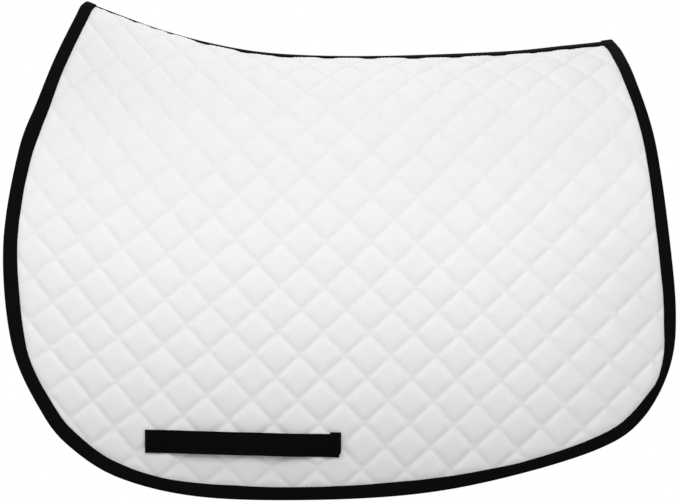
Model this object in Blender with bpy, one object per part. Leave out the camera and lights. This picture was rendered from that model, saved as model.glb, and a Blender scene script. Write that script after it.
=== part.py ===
"""All purpose saddle pad: two quilted halves joined along the spine and bound in black tape.

The spine runs along X with the horse's head towards -X, and its left side is -Y. The origin is
under the middle of the spine, where the pad lies on the horse's back. Each half is worked out as
a flat pattern, x along the spine and s down the cloth from it, and then laid over the back.
Every half is made on the +Y side, and the left one is its mirror image.
"""

import math

import bmesh
import bpy
import numpy as np
from mathutils import Vector
from mathutils.geometry import delaunay_2d_cdt

# Length and height of the pad seen from the side, over its binding
PAD_LENGTH = 0.6867
PAD_HEIGHT = 0.5103

# Clearance between pieces that lie on each other
GAP = 0.0003

# Thickness of the layers, from the outside in
FACE = 0.0015
FOAM = 0.0050
LINING = 0.0012
# The same layers where the binding squeezes them at the edge
FACE_AT_EDGE = 0.0010
FOAM_AT_EDGE = 0.0016
LINING_AT_EDGE = 0.0010

# Quilting: distance between sewn lines, and how far a diamond's crown stands over them
QUILT = 0.0326
PUFF = 0.0035

# Tapes and webbing
BINDING_TAPE = 0.0010
BINDING_WIDTH = 0.0135
SPINE_TAPE = 0.0014
SPINE_TAPE_WIDTH = 0.025
SPINE_LINING_TAPE = 0.0008
KEEPER_WEBBING = 0.0015
KEEPER_WIDTH = 0.0235

# Section over the back: the shoulder line that a flap hinges on, and the crown over the spine
SHOULDER_HALF_WIDTH = 0.100
SHOULDER_Z = -0.1010
CROWN_FRONT = math.radians(3)
CROWN_REAR = math.radians(18)
CROWN_REACH_FRONT = 0.018
CROWN_REACH_REAR = 0.120
SHOULDER_REACH_FRONT = 0.062
SHOULDER_REACH_REAR = 0.016

# Flap below the shoulder: its flare, and how far its edges turn in to the horse
FLARE = 0.0115
FLARE_DEPTH = 0.080
REAR_TURN = 0.030
REAR_TURN_FROM = 0.120
REAR_TURN_LENGTH = 0.205
FRONT_TURN = 0.014
FRONT_TURN_FROM = -0.180
FRONT_TURN_LENGTH = 0.167
TURN_DEPTH = 0.180
TUCK = 0.006
TUCK_FROM = 0.230
TUCK_DEPTH = 0.120

# Hinge of a flap: angle between its cut faces
HINGE_WEDGE = math.radians(12)

# Girth keeper: where its ends are sewn as (x, height over the hem's lowest point), the length of a
# sewn end, how far its loop stands off the quilting, and how high the diamonds stay that a sewn
# end presses down
KEEPER_FRONT = (-0.2085, 0.0606)
KEEPER_REAR = (-0.0110, 0.0560)
KEEPER_SEWN = 0.018
KEEPER_LOOP = 0.0070
KEEPER_PRESSED_CROWN = 0.0014
KEEPER_TAB_LENGTH = 0.0135
# The tab is sewn a little above and behind the keeper's end
KEEPER_TAB_RISE = 0.0020
KEEPER_TAB_PAST = 0.0020

# Spine of a full size pad seen from the side, front to rear, as (x, z) on the outer skin
FULL_SIZE_SPINE = (
    (-0.3480, 0.0960),
    (-0.2703, 0.0649),
    (-0.2060, 0.0404),
    (-0.1408, 0.0220),
    (-0.0755, 0.0118),
    (0.0224, 0.0093),
    (0.1530, 0.0139),
    (0.2183, 0.0200),
    (0.2723, 0.0262),
    (0.3350, 0.0370),
)

# Outer edge of a half of that pad, from the front of the spine round to its rear
FULL_SIZE_OUTLINE = (
    (-0.2745, 0.0665),
    (-0.3009, 0.0100),
    (-0.3192, -0.0364),
    (-0.3379, -0.0881),
    (-0.3535, -0.1868),
    (-0.3447, -0.2861),
    (-0.3148, -0.3533),
    (-0.2849, -0.3899),
    (-0.2340, -0.4214),
    (-0.1527, -0.4403),
    (-0.0392, -0.4436),
    (0.0716, -0.4370),
    (0.1666, -0.4186),
    (0.2561, -0.3906),
    (0.2989, -0.3606),
    (0.3264, -0.3093),
    (0.3329, -0.2516),
    (0.3238, -0.1616),
    (0.3103, -0.0759),
    (0.2916, -0.0146),
    (0.2740, 0.0250),
)

# Length of one step along an edge, along the spine and down the section
EDGE_STEP = 0.023
SPINE_STEP = 0.030
KEEPER_STEP = 0.011
SECTION_STEPS = 48
# Nearest that a sewn crossing, or a diamond's crown, comes to the edge of the quilting
CROSSING_MARGIN = 0.0005
CROWN_MARGIN = 0.007
# Least distance between two quilting lines where they reach the edge
ENDS_APART = 0.002

# Places of each layer's faces under the outer skin, in the open and at the edge
FACE_TOP = (0.0, 0.0)
FACE_BACK = (-FACE, -FACE_AT_EDGE)
FOAM_TOP = (FACE_BACK[0] - GAP, FACE_BACK[1] - GAP)
FOAM_BACK = (FOAM_TOP[0] - FOAM, FOAM_TOP[1] - FOAM_AT_EDGE)
LINING_TOP = (FOAM_BACK[0] - GAP, FOAM_BACK[1] - GAP)
LINING_BACK = (LINING_TOP[0] - LINING, LINING_TOP[1] - LINING_AT_EDGE)
# Distance from the outer edge to the quilting, and to the panels' own raw edge inside the tape
BAND = BINDING_WIDTH + GAP
RAW_EDGE = BINDING_TAPE + GAP
# The hinge line lies on the outermost face, so that a lifted flap opens its joint
AXIS_OUT = BINDING_TAPE + GAP
FLARE_SLOPE = math.atan2(FLARE_DEPTH, FLARE)
AXIS_Y = SHOULDER_HALF_WIDTH + AXIS_OUT * math.sin(FLARE_SLOPE)
AXIS_Z = SHOULDER_Z + AXIS_OUT * math.cos(FLARE_SLOPE)

MATERIALS = {
    "white_cotton": ((0.80, 0.80, 0.81), 0.9),
    "pad_foam": ((0.86, 0.84, 0.76), 0.95),
    "white_lining": ((0.78, 0.78, 0.78), 0.9),
    "black_tape": ((0.010, 0.010, 0.011), 0.75),
    "black_webbing": ((0.012, 0.012, 0.013), 0.65),
}


def stretched(points):
    """Points drawn for a full size pad, moved to this pad's length and height."""
    drawn_length, drawn_height = np.ptp(FULL_SIZE_OUTLINE, axis=0)
    return [(x * PAD_LENGTH / drawn_length, z * PAD_HEIGHT / drawn_height) for x, z in points]


OUTLINE = stretched(FULL_SIZE_OUTLINE)
HEM_Z = min(z for _, z in OUTLINE)


def smooth_curve(points, steps):
    """A curve through the points: each stretch bends as its neighbours lead it."""
    points = np.array(points)
    ends = [2 * points[0] - points[1], *points, 2 * points[-1] - points[-2]]
    places = []
    t = np.linspace(0, 1, steps, endpoint=False)[:, None]
    for p0, p1, p2, p3 in zip(ends, ends[1:], ends[2:], ends[3:]):
        bend = 2 * p0 - 5 * p1 + 4 * p2 - p3
        turn = 3 * (p1 - p2) + p3 - p0
        places.append(p1 + 0.5 * t * (p2 - p0 + t * (bend + t * turn)))
    return np.vstack([*places, [points[-1]]])


SPINE_CURVE = smooth_curve(stretched(FULL_SIZE_SPINE), 12)


def ease(value):
    """0 below 0 and 1 above 1, with a smooth change between."""
    value = np.clip(value, 0, 1)
    return value * value * (3 - 2 * value)


def along_spine(x):
    """0 where the spine starts at the front, 1 where it ends at the rear."""
    return (x - OUTLINE[0][0]) / (OUTLINE[-1][0] - OUTLINE[0][0])


def flap_turn(x, depth):
    """How far a flap's front and rear edges and its hem come in towards the horse."""
    rear = REAR_TURN * np.clip((x - REAR_TURN_FROM) / REAR_TURN_LENGTH, 0, None) ** 2
    front = FRONT_TURN * np.clip((FRONT_TURN_FROM - x) / FRONT_TURN_LENGTH, 0, None) ** 2
    tuck = TUCK * np.clip((depth - TUCK_FROM) / TUCK_DEPTH, 0, None) ** 2
    return (rear + front) * ease(depth / TURN_DEPTH) + tuck


def sections(x):
    """The outer skin's section at each x, as rows of (s, y, z) from the spine down past the hem."""
    x = np.atleast_1d(np.asarray(x, float))[:, None]
    spine_z = np.interp(x, SPINE_CURVE[:, 0], SPINE_CURVE[:, 1])
    along = np.clip(along_spine(x), -0.15, 1.15)
    crown = CROWN_FRONT + (CROWN_REAR - CROWN_FRONT) * along
    reach = CROWN_REACH_FRONT + (CROWN_REACH_REAR - CROWN_REACH_FRONT) * along
    shoulder = SHOULDER_REACH_FRONT + (SHOULDER_REACH_REAR - SHOULDER_REACH_FRONT) * along
    t = np.linspace(0, 1, SECTION_STEPS + 1)[None, :]
    weights = ((1 - t) ** 3, 3 * t * (1 - t) ** 2, 3 * t**2 * (1 - t), t**3)
    y_points = (
        0,
        reach * np.cos(crown),
        SHOULDER_HALF_WIDTH - shoulder * math.cos(FLARE_SLOPE),
        SHOULDER_HALF_WIDTH,
    )
    z_points = (
        spine_z,
        spine_z - reach * np.sin(crown),
        SHOULDER_Z + shoulder * math.sin(FLARE_SLOPE),
        SHOULDER_Z,
    )
    roof_y = sum(weight * y for weight, y in zip(weights, y_points))
    roof_z = sum(weight * z for weight, z in zip(weights, z_points))
    deepest = SHOULDER_Z - HEM_Z + BAND
    depth = np.linspace(0, deepest, SECTION_STEPS + 1)[None, 1:]
    flare = FLARE * (1 - np.exp(-depth / FLARE_DEPTH))
    flap_y = SHOULDER_HALF_WIDTH + flare - flap_turn(x, depth)
    flap_z = SHOULDER_Z - depth + 0 * x
    y = np.hstack([roof_y, flap_y])
    z = np.hstack([roof_z, flap_z])
    steps = np.hypot(np.diff(y), np.diff(z))
    s = np.hstack([0 * x, np.cumsum(steps, axis=1)])
    return s, y, z


def down_cloth(x, z):
    """How far down the cloth from the spine the height z lies, at each x."""
    s, _, heights = sections(x)
    return np.array([np.interp(-one, -h, row) for one, h, row in zip(np.atleast_1d(z), heights, s)])


def shoulder_s(x):
    """How far down the cloth the shoulder line lies, at each x."""
    return sections(x)[0][:, SECTION_STEPS]


def on_skin(flat):
    """The place on the outer skin of each flat point (x, s)."""
    s, y, z = sections(flat[:, 0])
    past = np.minimum(flat[:, 1], 0)
    places = [
        (x, np.interp(down, row, ys) + over, np.interp(down, row, zs))
        for (x, down), over, row, ys, zs in zip(flat, past, s, y, z)
    ]
    return np.array(places)


def skin_frame(flat):
    """Place, outward normal and downward direction of the skin at each flat point (x, s)."""
    reach = 0.002
    place = on_skin(flat)
    run = on_skin(flat + (reach, 0)) - on_skin(flat - (reach, 0))
    fall = on_skin(flat + (0, reach)) - on_skin(flat - (0, reach))
    fall /= np.linalg.norm(fall, axis=1)[:, None]
    normal = np.cross(run, fall)
    at_spine = flat[:, 1] < 1e-9
    normal[at_spine] = np.column_stack([-run[at_spine, 2], 0 * run[at_spine, 0], run[at_spine, 0]])
    return place, normal / np.linalg.norm(normal, axis=1)[:, None], fall


# Quilting. a and b count the two sets of sewn lines, whole numbers on a line. Going down the
# cloth the columns of diamonds lean a little, as the pad is cut across its grain at the front.
QUILT_MIDDLE = -0.0008
ROWS_AT_FRONT = 18.0
ROWS_AT_REAR = 18.4
ROWS_SAG = 0.8
ROWS_HALF = 8
COLUMNS_HALF = 12
ENDS_DRAWN = 0.0044
DRIFT = 0.0031
LEAN = 0.0063
LEAN_AT_ENDS = 0.0043
LEAN_SAG = 0.0060


def quilting(x, s):
    """(a, b) at flat points: both are whole numbers where the sewn lines cross."""
    half = QUILT / math.sqrt(2)
    along = along_spine(x)
    rows = ROWS_AT_FRONT + (ROWS_AT_REAR - ROWS_AT_FRONT) * along - ROWS_SAG * 4 * along * (1 - along)
    row = s / half - rows
    q = (row + ROWS_HALF) / ROWS_HALF
    span = COLUMNS_HALF * half
    place = (x - QUILT_MIDDLE) / span
    for _ in range(6):
        bent = (
            -ENDS_DRAWN * place**3
            - DRIFT * q * (1 + q)
            + LEAN * place * q
            - LEAN_AT_ENDS * place**2 * q
            - LEAN_SAG * place * q**2
        )
        place = (x - QUILT_MIDDLE - bent) / span
    column = place * COLUMNS_HALF
    return (column + row) / 2, (column - row) / 2


def flat_place(a, b, guess):
    """The flat point (x, s) of each (a, b), from a guess near it."""
    half = QUILT / math.sqrt(2)
    flat = np.array(guess, float)
    for _ in range(8):
        now_a, now_b = quilting(flat[:, 0], flat[:, 1])
        flat[:, 0] += ((a - now_a) + (b - now_b)) * half
        flat[:, 1] += ((a - now_a) - (b - now_b)) * half
    return flat


def inside(points, ring):
    """Whether each flat point lies inside the closed ring."""
    crossed = np.zeros(len(points), bool)
    for (x0, s0), (x1, s1) in zip(ring, np.roll(ring, -1, axis=0)):
        if s0 == s1:
            continue
        spans = (points[:, 1] < s0) != (points[:, 1] < s1)
        crossed ^= spans & (points[:, 0] < x0 + (points[:, 1] - s0) / (s1 - s0) * (x1 - x0))
    return crossed


def distance_to(points, ring):
    """Distance of each flat point to the nearest stretch of the closed ring."""
    nearest = np.full(len(points), np.inf)
    for start, end in zip(ring, np.roll(ring, -1, axis=0)):
        run = end - start
        share = np.clip((points - start) @ run / max(run @ run, 1e-18), 0, 1)
        nearest = np.minimum(nearest, np.linalg.norm(points - start - share[:, None] * run, axis=1))
    return nearest


def resampled(path, step):
    """The path cut into equal steps of about this length."""
    lengths = np.concatenate([[0], np.cumsum(np.linalg.norm(np.diff(path, axis=0), axis=1))])
    count = max(2, round(lengths[-1] / step))
    at = np.linspace(0, lengths[-1], count + 1)
    return np.column_stack([np.interp(at, lengths, path[:, 0]), np.interp(at, lengths, path[:, 1])])


def flat_outline():
    """The outer edge of a half in the flat pattern: front of the back, flap and rear of the back."""
    seen = smooth_curve(OUTLINE, 24)
    flat = np.column_stack([seen[:, 0], down_cloth(seen[:, 0], seen[:, 1])])
    flat[0, 1] = 0
    flat[-1, 1] = 0
    low = np.flatnonzero(flat[:, 1] > shoulder_s(flat[:, 0]))
    first, last = low[0], low[-1]
    front_corner = cross_shoulder(flat[first - 1], flat[first])
    rear_corner = cross_shoulder(flat[last + 1], flat[last])
    front = np.vstack([flat[:first], [front_corner]])
    flap = np.vstack([[front_corner], flat[first : last + 1], [rear_corner]])
    rear = np.vstack([[rear_corner], flat[last + 1 :]])[::-1]
    return front, flap, rear


def cross_shoulder(above, below):
    """The flat point between two others that lies on the shoulder line."""
    for _ in range(30):
        middle = (above + below) / 2
        if middle[1] > shoulder_s(middle[0])[0]:
            below = middle
        else:
            above = middle
    x = (above[0] + below[0]) / 2
    return np.array([x, shoulder_s(x)[0]])


def inwards(path, distance, first, last):
    """The path moved in by a distance, square to itself but along first and last at its ends."""
    along = np.gradient(path, axis=0)
    turned = np.column_stack([along[:, 1], -along[:, 0]])
    turned /= np.linalg.norm(turned, axis=1)[:, None]
    turned *= np.sign(turned[0] @ first)
    turned[0], turned[-1] = first, last
    return path + distance * turned


class Edge:
    """Stations along a bound edge: outer edge of the tape, raw edge of the cloth, and inner line."""

    def __init__(self, outer, first, last, on_shoulder):
        self.outer = outer
        self.raw = inwards(outer, RAW_EDGE, first, last)
        self.inner = inwards(outer, BAND, first, last)
        for line in (self.outer, self.raw, self.inner):
            for end in on_shoulder:
                line[end, 1] = shoulder_s(line[end, 0])[0]


def bound_edges():
    """The bound edges of the back's front, the flap and the back's rear."""
    front, flap, rear = flat_outline()
    backwards = np.array([1.0, 0.0])
    forwards = np.array([-1.0, 0.0])
    half_tape = SPINE_TAPE_WIDTH / 2
    edges = []
    for path, way in ((front, backwards), (rear, forwards)):
        at_tape = np.array([np.interp(half_tape, path[:, 1], path[:, 0]), half_tape])
        rest = np.vstack([[at_tape], path[path[:, 1] > half_tape]])
        edge = Edge(np.vstack([path[:1], resampled(rest, EDGE_STEP)]), way, way, (-1,))
        # The first two stations stand square to the spine tape, whose edge passes through the second.
        for line, shift in ((edge.outer, 0), (edge.raw, RAW_EDGE), (edge.inner, BAND)):
            line[:2] = path[0] + shift * way, at_tape + shift * way
        edges.append(edge)
    flap_edge = Edge(resampled(flap, EDGE_STEP), backwards, forwards, (0, -1))
    return edges[0], flap_edge, edges[1]


def line_ends(start, end):
    """Where the quilting lines cross the flat stretch from start to end: (share, set, number)."""
    shares = np.linspace(0, 1, 17)
    flat = start + shares[:, None] * (end - start)
    found = []
    for which, values in enumerate(quilting(flat[:, 0], flat[:, 1])):
        for k in range(len(shares) - 1):
            low, high = sorted(values[k : k + 2])
            for number in range(math.ceil(low), math.ceil(high)):
                past = (number - values[k]) / (values[k + 1] - values[k])
                share = shares[k] + past * (shares[1] - shares[0])
                found.append((share, which, number))
    return sorted(found)


class Panel:
    """A flat pattern cut into triangles, with the quilting lines among their edges."""

    def __init__(self):
        self.flat = []
        self.edge = []
        self.hinge = []
        self.chord = []
        self.crown = []
        self.lines = {}
        self.sides = []

    def add(self, flat, edge=False, hinge=False, chord=None, crown=0.0):
        self.flat.append(np.array(flat, float))
        self.edge.append(edge)
        self.hinge.append(hinge)
        self.chord.append(chord)
        self.crown.append(crown)
        return len(self.flat) - 1

    def stitch_line_end(self, vertex, which, number):
        self.lines.setdefault((which, number), []).append(vertex)

    def stretch(self, first, last, hinge=False):
        """Vertices strictly between two others, where quilting lines meet the straight stretch."""
        made = []
        start, end = self.flat[first], self.flat[last]
        for share, which, number in line_ends(start, end):
            flat = start + share * (end - start)
            near = [v for v in (first, last, *made) if np.linalg.norm(self.flat[v] - flat) < ENDS_APART]
            if near:
                vertex = near[-1]
            else:
                vertex = self.add(flat, hinge=hinge, chord=(first, last, share))
                made.append(vertex)
            self.stitch_line_end(vertex, which, number)
        return made

    def side(self, vertices):
        self.sides += list(zip(vertices, vertices[1:]))

    def band(self, outer, inner):
        """The strip between an edge and its inner line, with the diagonals that the tape uses."""
        rows = []
        for k in range(len(inner) - 1):
            rows.append([inner[k], *self.stretch(inner[k], inner[k + 1])])
            self.sides.append((outer[k], inner[k + 1]))
        rows.append([inner[-1]])
        inner_line = [v for row in rows for v in row]
        self.side(inner_line)
        self.side(outer)
        for pair in zip(outer, inner):
            self.sides.append(pair)
        return inner_line

    def quilt(self, ring):
        """Adds the crossings and crowns inside the ring of vertices, and the lines between them."""
        ring_flat = np.array([self.flat[v] for v in ring])
        middle = ring_flat.mean(axis=0)
        a_values, b_values = quilting(ring_flat[:, 0], ring_flat[:, 1])
        for shift in (0.0, 0.5):
            a, b = np.meshgrid(
                np.arange(math.floor(a_values.min()), math.ceil(a_values.max()) + 1) + shift,
                np.arange(math.floor(b_values.min()), math.ceil(b_values.max()) + 1) + shift,
            )
            a, b = a.ravel(), b.ravel()
            half = QUILT / math.sqrt(2)
            mid_a, mid_b = quilting(middle[:1], middle[1:])
            guess = middle + np.column_stack([(a - mid_a) + (b - mid_b), (a - mid_a) - (b - mid_b)]) * half
            flat = flat_place(a, b, guess)
            off_ring = distance_to(flat, ring_flat)
            keep = inside(flat, ring_flat) & (off_ring > (CROWN_MARGIN if shift else CROSSING_MARGIN))
            for k in np.flatnonzero(keep):
                if shift:
                    self.add(flat[k], crown=min(1.0, off_ring[k] / (QUILT / 2)))
                    continue
                vertex = self.add(flat[k])
                self.stitch_line_end(vertex, 0, int(a[k]))
                self.stitch_line_end(vertex, 1, int(b[k]))
        for (which, _), found in self.lines.items():
            flat = np.array([self.flat[v] for v in found])
            order = np.argsort(quilting(flat[:, 0], flat[:, 1])[1 - which])
            found = [found[k] for k in order]
            for start, end in zip(found, found[1:]):
                half_way = (self.flat[start] + self.flat[end]) / 2
                if start != end and inside(half_way[None], ring_flat)[0]:
                    self.sides.append((start, end))

    def triangles(self, ring, with_crowns):
        """The pattern's triangles, with or without a vertex at each diamond's crown."""
        used = [v for v in range(len(self.flat)) if with_crowns or not self.crown[v]]
        place = {v: k for k, v in enumerate(used)}
        ring_sides = list(zip(ring, ring[1:] + ring[:1]))
        sides = {tuple(sorted((place[i], place[j]))) for i, j in self.sides + ring_sides}
        # Millimetres keep the flat sizes well above the triangulation's tolerance.
        points = [Vector(self.flat[v] * 1000) for v in used]
        places, _, faces, origins, _, _ = delaunay_2d_cdt(points, sorted(sides), [], 0, 1e-7)
        # A place with no origin is where two sides cross.
        names = [used[old[0]] if old else self.add(Vector(at) / 1000) for at, old in zip(places, origins)]
        corners = [[names[v] for v in face] for face in faces]
        middles = np.array([np.mean([self.flat[v] for v in face], axis=0) for face in corners])
        keep = inside(middles, np.array([self.flat[v] for v in ring]))
        return [face for face, wanted in zip(corners, keep) if wanted]

    def layer(self, offsets, hinge_way, crown_height=None):
        """Where each vertex of a layer lies: offsets are (in the open, at the edge)."""
        flat = np.array(self.flat)
        place, normal, fall = skin_frame(flat)
        edge = np.array(self.edge)
        offset = np.where(edge, offsets[1], offsets[0])
        if crown_height is not None:
            offset = offset + np.array(self.crown) * crown_height(flat)
        points = place + normal * offset[:, None]
        hinge = np.array(self.hinge)
        opened = GAP / 2 + (AXIS_OUT - offset) * math.tan(HINGE_WEDGE / 2)
        points[hinge] += (hinge_way * opened[:, None] * fall)[hinge]
        points[flat[:, 1] < 1e-9, 1] = GAP / 2
        for v, chord in enumerate(self.chord):
            if chord:
                first, last, share = chord
                points[v] = (1 - share) * points[first] + share * points[last]
        return points


def shoulder_row(panel, first, last):
    """The hinge line's vertices between two others, cut where quilting lines cross it."""
    start, end = panel.flat[first], panel.flat[last]
    steps = resampled(np.array([[start[0], 0], [end[0], 0]]), EDGE_STEP / 4)[:, 0]
    path = np.column_stack([steps, shoulder_s(steps)])
    made = []
    for low, high in zip(path, path[1:]):
        for share, which, number in line_ends(low, high):
            x = low[0] + share * (high[0] - low[0])
            near = [v for v in (first, last, *made) if abs(panel.flat[v][0] - x) < ENDS_APART]
            if near:
                vertex = near[-1]
            else:
                vertex = panel.add((x, shoulder_s(x)[0]), hinge=True)
                made.append(vertex)
            panel.stitch_line_end(vertex, which, number)
    return made


def flap_panel(edge):
    """The pattern of a flap, and the ring of vertices round it."""
    panel = Panel()
    count = len(edge.raw)
    ends = (0, count - 1)
    outer = [panel.add(p, edge=True, hinge=k in ends) for k, p in enumerate(edge.raw)]
    inner = [panel.add(p, hinge=k in ends) for k, p in enumerate(edge.inner)]
    inner_line = panel.band(outer, inner)
    hinge_line = shoulder_row(panel, inner[-1], inner[0])
    panel.quilt(inner_line + hinge_line)
    return panel, outer + [inner[-1]] + hinge_line + [inner[0]]


def back_panel(front, rear):
    """The pattern of a half of the back, the ring round it, and the lines its spine tape follows."""
    panel = Panel()
    rows = []
    for edge in (front, rear):
        last = len(edge.raw) - 1
        outer = [panel.add(p, edge=True, hinge=k == last) for k, p in enumerate(edge.raw)]
        inner = [panel.add(p, hinge=k == last) for k, p in enumerate(edge.inner)]
        rows.append((outer, inner))
    (front_outer, front_inner), (rear_outer, rear_inner) = rows
    count = max(2, round((rear.inner[0, 0] - front.inner[0, 0]) / SPINE_STEP))
    spine = list(np.linspace(front.inner[0], rear.inner[0], count + 1))
    tape = list(np.linspace(front.inner[1], rear.inner[1], count + 1))
    spine_row = [front_inner[0], *(panel.add(p) for p in spine[1:-1]), rear_inner[0]]
    tape_row = [front_inner[1], *(panel.add(p) for p in tape[1:-1]), rear_inner[1]]
    inner_lines = []
    for outer, inner in rows:
        panel.side(outer)
        panel.side(inner[:2])
        panel.sides += list(zip(outer, inner)) + list(zip(outer, inner[1:]))
        line = []
        for k in range(1, len(inner) - 1):
            line += [inner[k], *panel.stretch(inner[k], inner[k + 1])]
        inner_lines.append([*line, inner[-1]])
        panel.side(inner_lines[-1])
    panel.side(spine_row)
    panel.sides += list(zip(spine_row, tape_row)) + list(zip(spine_row, tape_row[1:]))
    tape_line = []
    for k in range(count):
        tape_line += [tape_row[k], *panel.stretch(tape_row[k], tape_row[k + 1])]
    tape_line.append(tape_row[-1])
    panel.side(tape_line)
    hinge_line = shoulder_row(panel, front_inner[-1], rear_inner[-1])
    panel.quilt(inner_lines[0] + hinge_line + inner_lines[1][::-1] + tape_line[-2:0:-1])
    hinge_line = [front_inner[-1], *hinge_line, rear_inner[-1]]
    around = front_outer + hinge_line + rear_outer[::-1] + spine_row[::-1]
    return panel, around, (np.array(spine), np.array(tape))


def material(name):
    found = bpy.data.materials.get(name)
    if found:
        return found
    colour, roughness = MATERIALS[name]
    made = bpy.data.materials.new(name)
    made.use_nodes = True
    shader = made.node_tree.nodes["Principled BSDF"]
    shader.inputs["Base Color"].default_value = (*colour, 1)
    shader.inputs["Roughness"].default_value = roughness
    shader.inputs["Metallic"].default_value = 0
    return made


def empty(name, place):
    made = bpy.data.objects.new(name, None)
    made.location = place
    made.empty_display_size = 0.05
    bpy.context.scene.collection.objects.link(made)
    return made


def solid(name, points, faces, slot, parent):
    """A closed object from points in the world, hung on its body's empty."""
    mesh = bpy.data.meshes.new(name)
    work = bmesh.new()
    origin = np.array(parent.location)
    used = sorted({v for face in faces for v in face})
    made = {v: work.verts.new(points[v] - origin) for v in used}
    for face in faces:
        work.faces.new([made[v] for v in face])
    bmesh.ops.recalc_face_normals(work, faces=work.faces)
    work.to_mesh(mesh)
    work.free()
    mesh.materials.append(material(slot))
    mesh.shade_smooth()
    mesh.set_sharp_from_angle(angle=math.radians(40))
    thing = bpy.data.objects.new(name, mesh)
    bpy.context.scene.collection.objects.link(thing)
    thing.parent = parent
    return thing


def mirrored(points, side):
    """The points on the right side, or their mirror image on the left."""
    return points * (1, side, 1)


def cloth_layer(name, panel, ring, top, back, hinge_way, side, slot, parent, crowns=None):
    """One layer of a panel as a closed solid: its outer face, its back and the cut edge between."""
    upper_faces = panel.triangles(ring, crowns is not None)
    lower_faces = panel.triangles(ring, False)
    upper = panel.layer(top, hinge_way, crowns)
    lower = panel.layer(back, hinge_way)
    count = len(upper)
    faces = [list(face) for face in upper_faces]
    faces += [[count + v for v in reversed(face)] for face in lower_faces]
    for first, last in zip(ring, ring[1:] + ring[:1]):
        faces.append([last, first, count + first])
        faces.append([last, count + first, count + last])
    points = mirrored(np.vstack([upper, lower]), side)
    return solid(name, points, faces, slot, parent)


def loft(name, rings, depths, slot, parent, turned=0):
    """A solid through rings of like points. depths say how far in each point lies, so that the
    triangles between two rings lean the same way as those of the cloth under them. The first
    spans, as many as turned, run against the cloth's own order."""
    count = len(rings[0])
    faces = [list(range(count)), [(len(rings) - 1) * count + k for k in reversed(range(count))]]
    for ring in range(len(rings) - 1):
        here, there = ring * count, (ring + 1) * count
        if ring < turned:
            here, there = there, here
        for k in range(count):
            j = (k + 1) % count
            near, far = (k, j) if depths[k] <= depths[j] else (j, k)
            faces.append([here + near, here + far, there + far])
            faces.append([here + near, there + far, there + near])
    return solid(name, np.vstack(rings), faces, slot, parent)


def skin_points(flat, offset, hinge_way=0):
    """Points over flat points at one offset from the skin, drawn back at the hinge if they lie there."""
    place, normal, fall = skin_frame(flat)
    points = place + normal * offset
    points[flat[:, 1] < 1e-9, 1] = 0
    if hinge_way:
        opened = GAP / 2 + (AXIS_OUT - offset) * math.tan(HINGE_WEDGE / 2)
        at_hinge = np.abs(flat[:, 1] - shoulder_s(flat[:, 0])) < 1e-7
        points[at_hinge] += hinge_way * opened * fall[at_hinge]
    return points


# Points of the binding's section, from its outer leg's tip round the edge to its inner leg's tip
# and back inside the fold: 0 at the edge, 1 at a leg's tip
BINDING_DEPTHS = (1, 0, 0, 0, 0, 1, 1, 0, 0, 1)


def binding_rings(edge, hinge_way):
    """The section of the binding at each station of an edge, folded over the cloth's raw edge."""
    over = GAP + BINDING_TAPE
    back, back_at_edge = LINING_BACK
    lines = {
        "outer": skin_points(edge.outer, GAP, hinge_way),
        "outer_low": skin_points(edge.outer, back_at_edge - GAP, hinge_way),
        "raw": skin_points(edge.raw, GAP, hinge_way),
        "raw_top": skin_points(edge.raw, over, hinge_way),
        "raw_low": skin_points(edge.raw, back_at_edge - GAP, hinge_way),
        "raw_bottom": skin_points(edge.raw, back_at_edge - over, hinge_way),
        "in": skin_points(edge.inner, GAP, hinge_way),
        "in_top": skin_points(edge.inner, over, hinge_way),
        "in_low": skin_points(edge.inner, back - GAP, hinge_way),
        "in_bottom": skin_points(edge.inner, back - over, hinge_way),
    }
    reach = (BINDING_WIDTH - RAW_EDGE - GAP) / (BAND - RAW_EDGE)

    def tip(raw, inner):
        return lines[raw] + reach * (lines[inner] - lines[raw])

    # The channel's floor lies a clearance outside the raw edge.
    floor_share = GAP / RAW_EDGE
    floor_top = lines["raw"] + floor_share * (lines["outer"] - lines["raw"])
    floor_low = lines["raw_low"] + floor_share * (lines["outer_low"] - lines["raw_low"])
    section = (
        tip("raw_top", "in_top"),
        lines["raw_top"],
        lines["outer"],
        lines["outer_low"],
        lines["raw_bottom"],
        tip("raw_bottom", "in_bottom"),
        tip("raw_low", "in_low"),
        floor_low,
        floor_top,
        tip("raw", "in"),
    )
    return list(np.stack(section, axis=1))


def arch_binding(name, edge, parent):
    """The binding over the front or the rear of the back, from one shoulder to the other."""
    right = binding_rings(edge, -1)
    left = [mirrored(ring, -1) for ring in right[1:]]
    return loft(name, right[::-1] + left, BINDING_DEPTHS, "black_tape", parent, len(left))


def spine_strip(name, lines, top, bottom, slot, parent):
    """A tape over or under the spine seam, between the two arch bindings."""
    spine, tape = lines
    columns = []
    for offset in (top, bottom):
        middle = skin_points(spine, offset)
        side = skin_points(tape, offset)
        columns.append((side, middle, mirrored(side, -1)))
    (upper_right, upper, upper_left), (lower_right, lower, lower_left) = columns
    rings = np.stack([upper_right, upper, upper_left, lower_left, lower, lower_right], axis=1)
    return loft(name, list(rings), (1, 0, 1, 1, 0, 1), slot, parent)


def keeper_line(x):
    """The height of the keeper's middle at each x."""
    (x0, up0), (x1, up1) = KEEPER_FRONT, KEEPER_REAR
    return HEM_Z + up0 + (x - x0) / (x1 - x0) * (up1 - up0)


def crowns_of_back(flat):
    """How high the crowns of the diamonds stand on the back."""
    return np.full(len(flat), PUFF)


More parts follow.
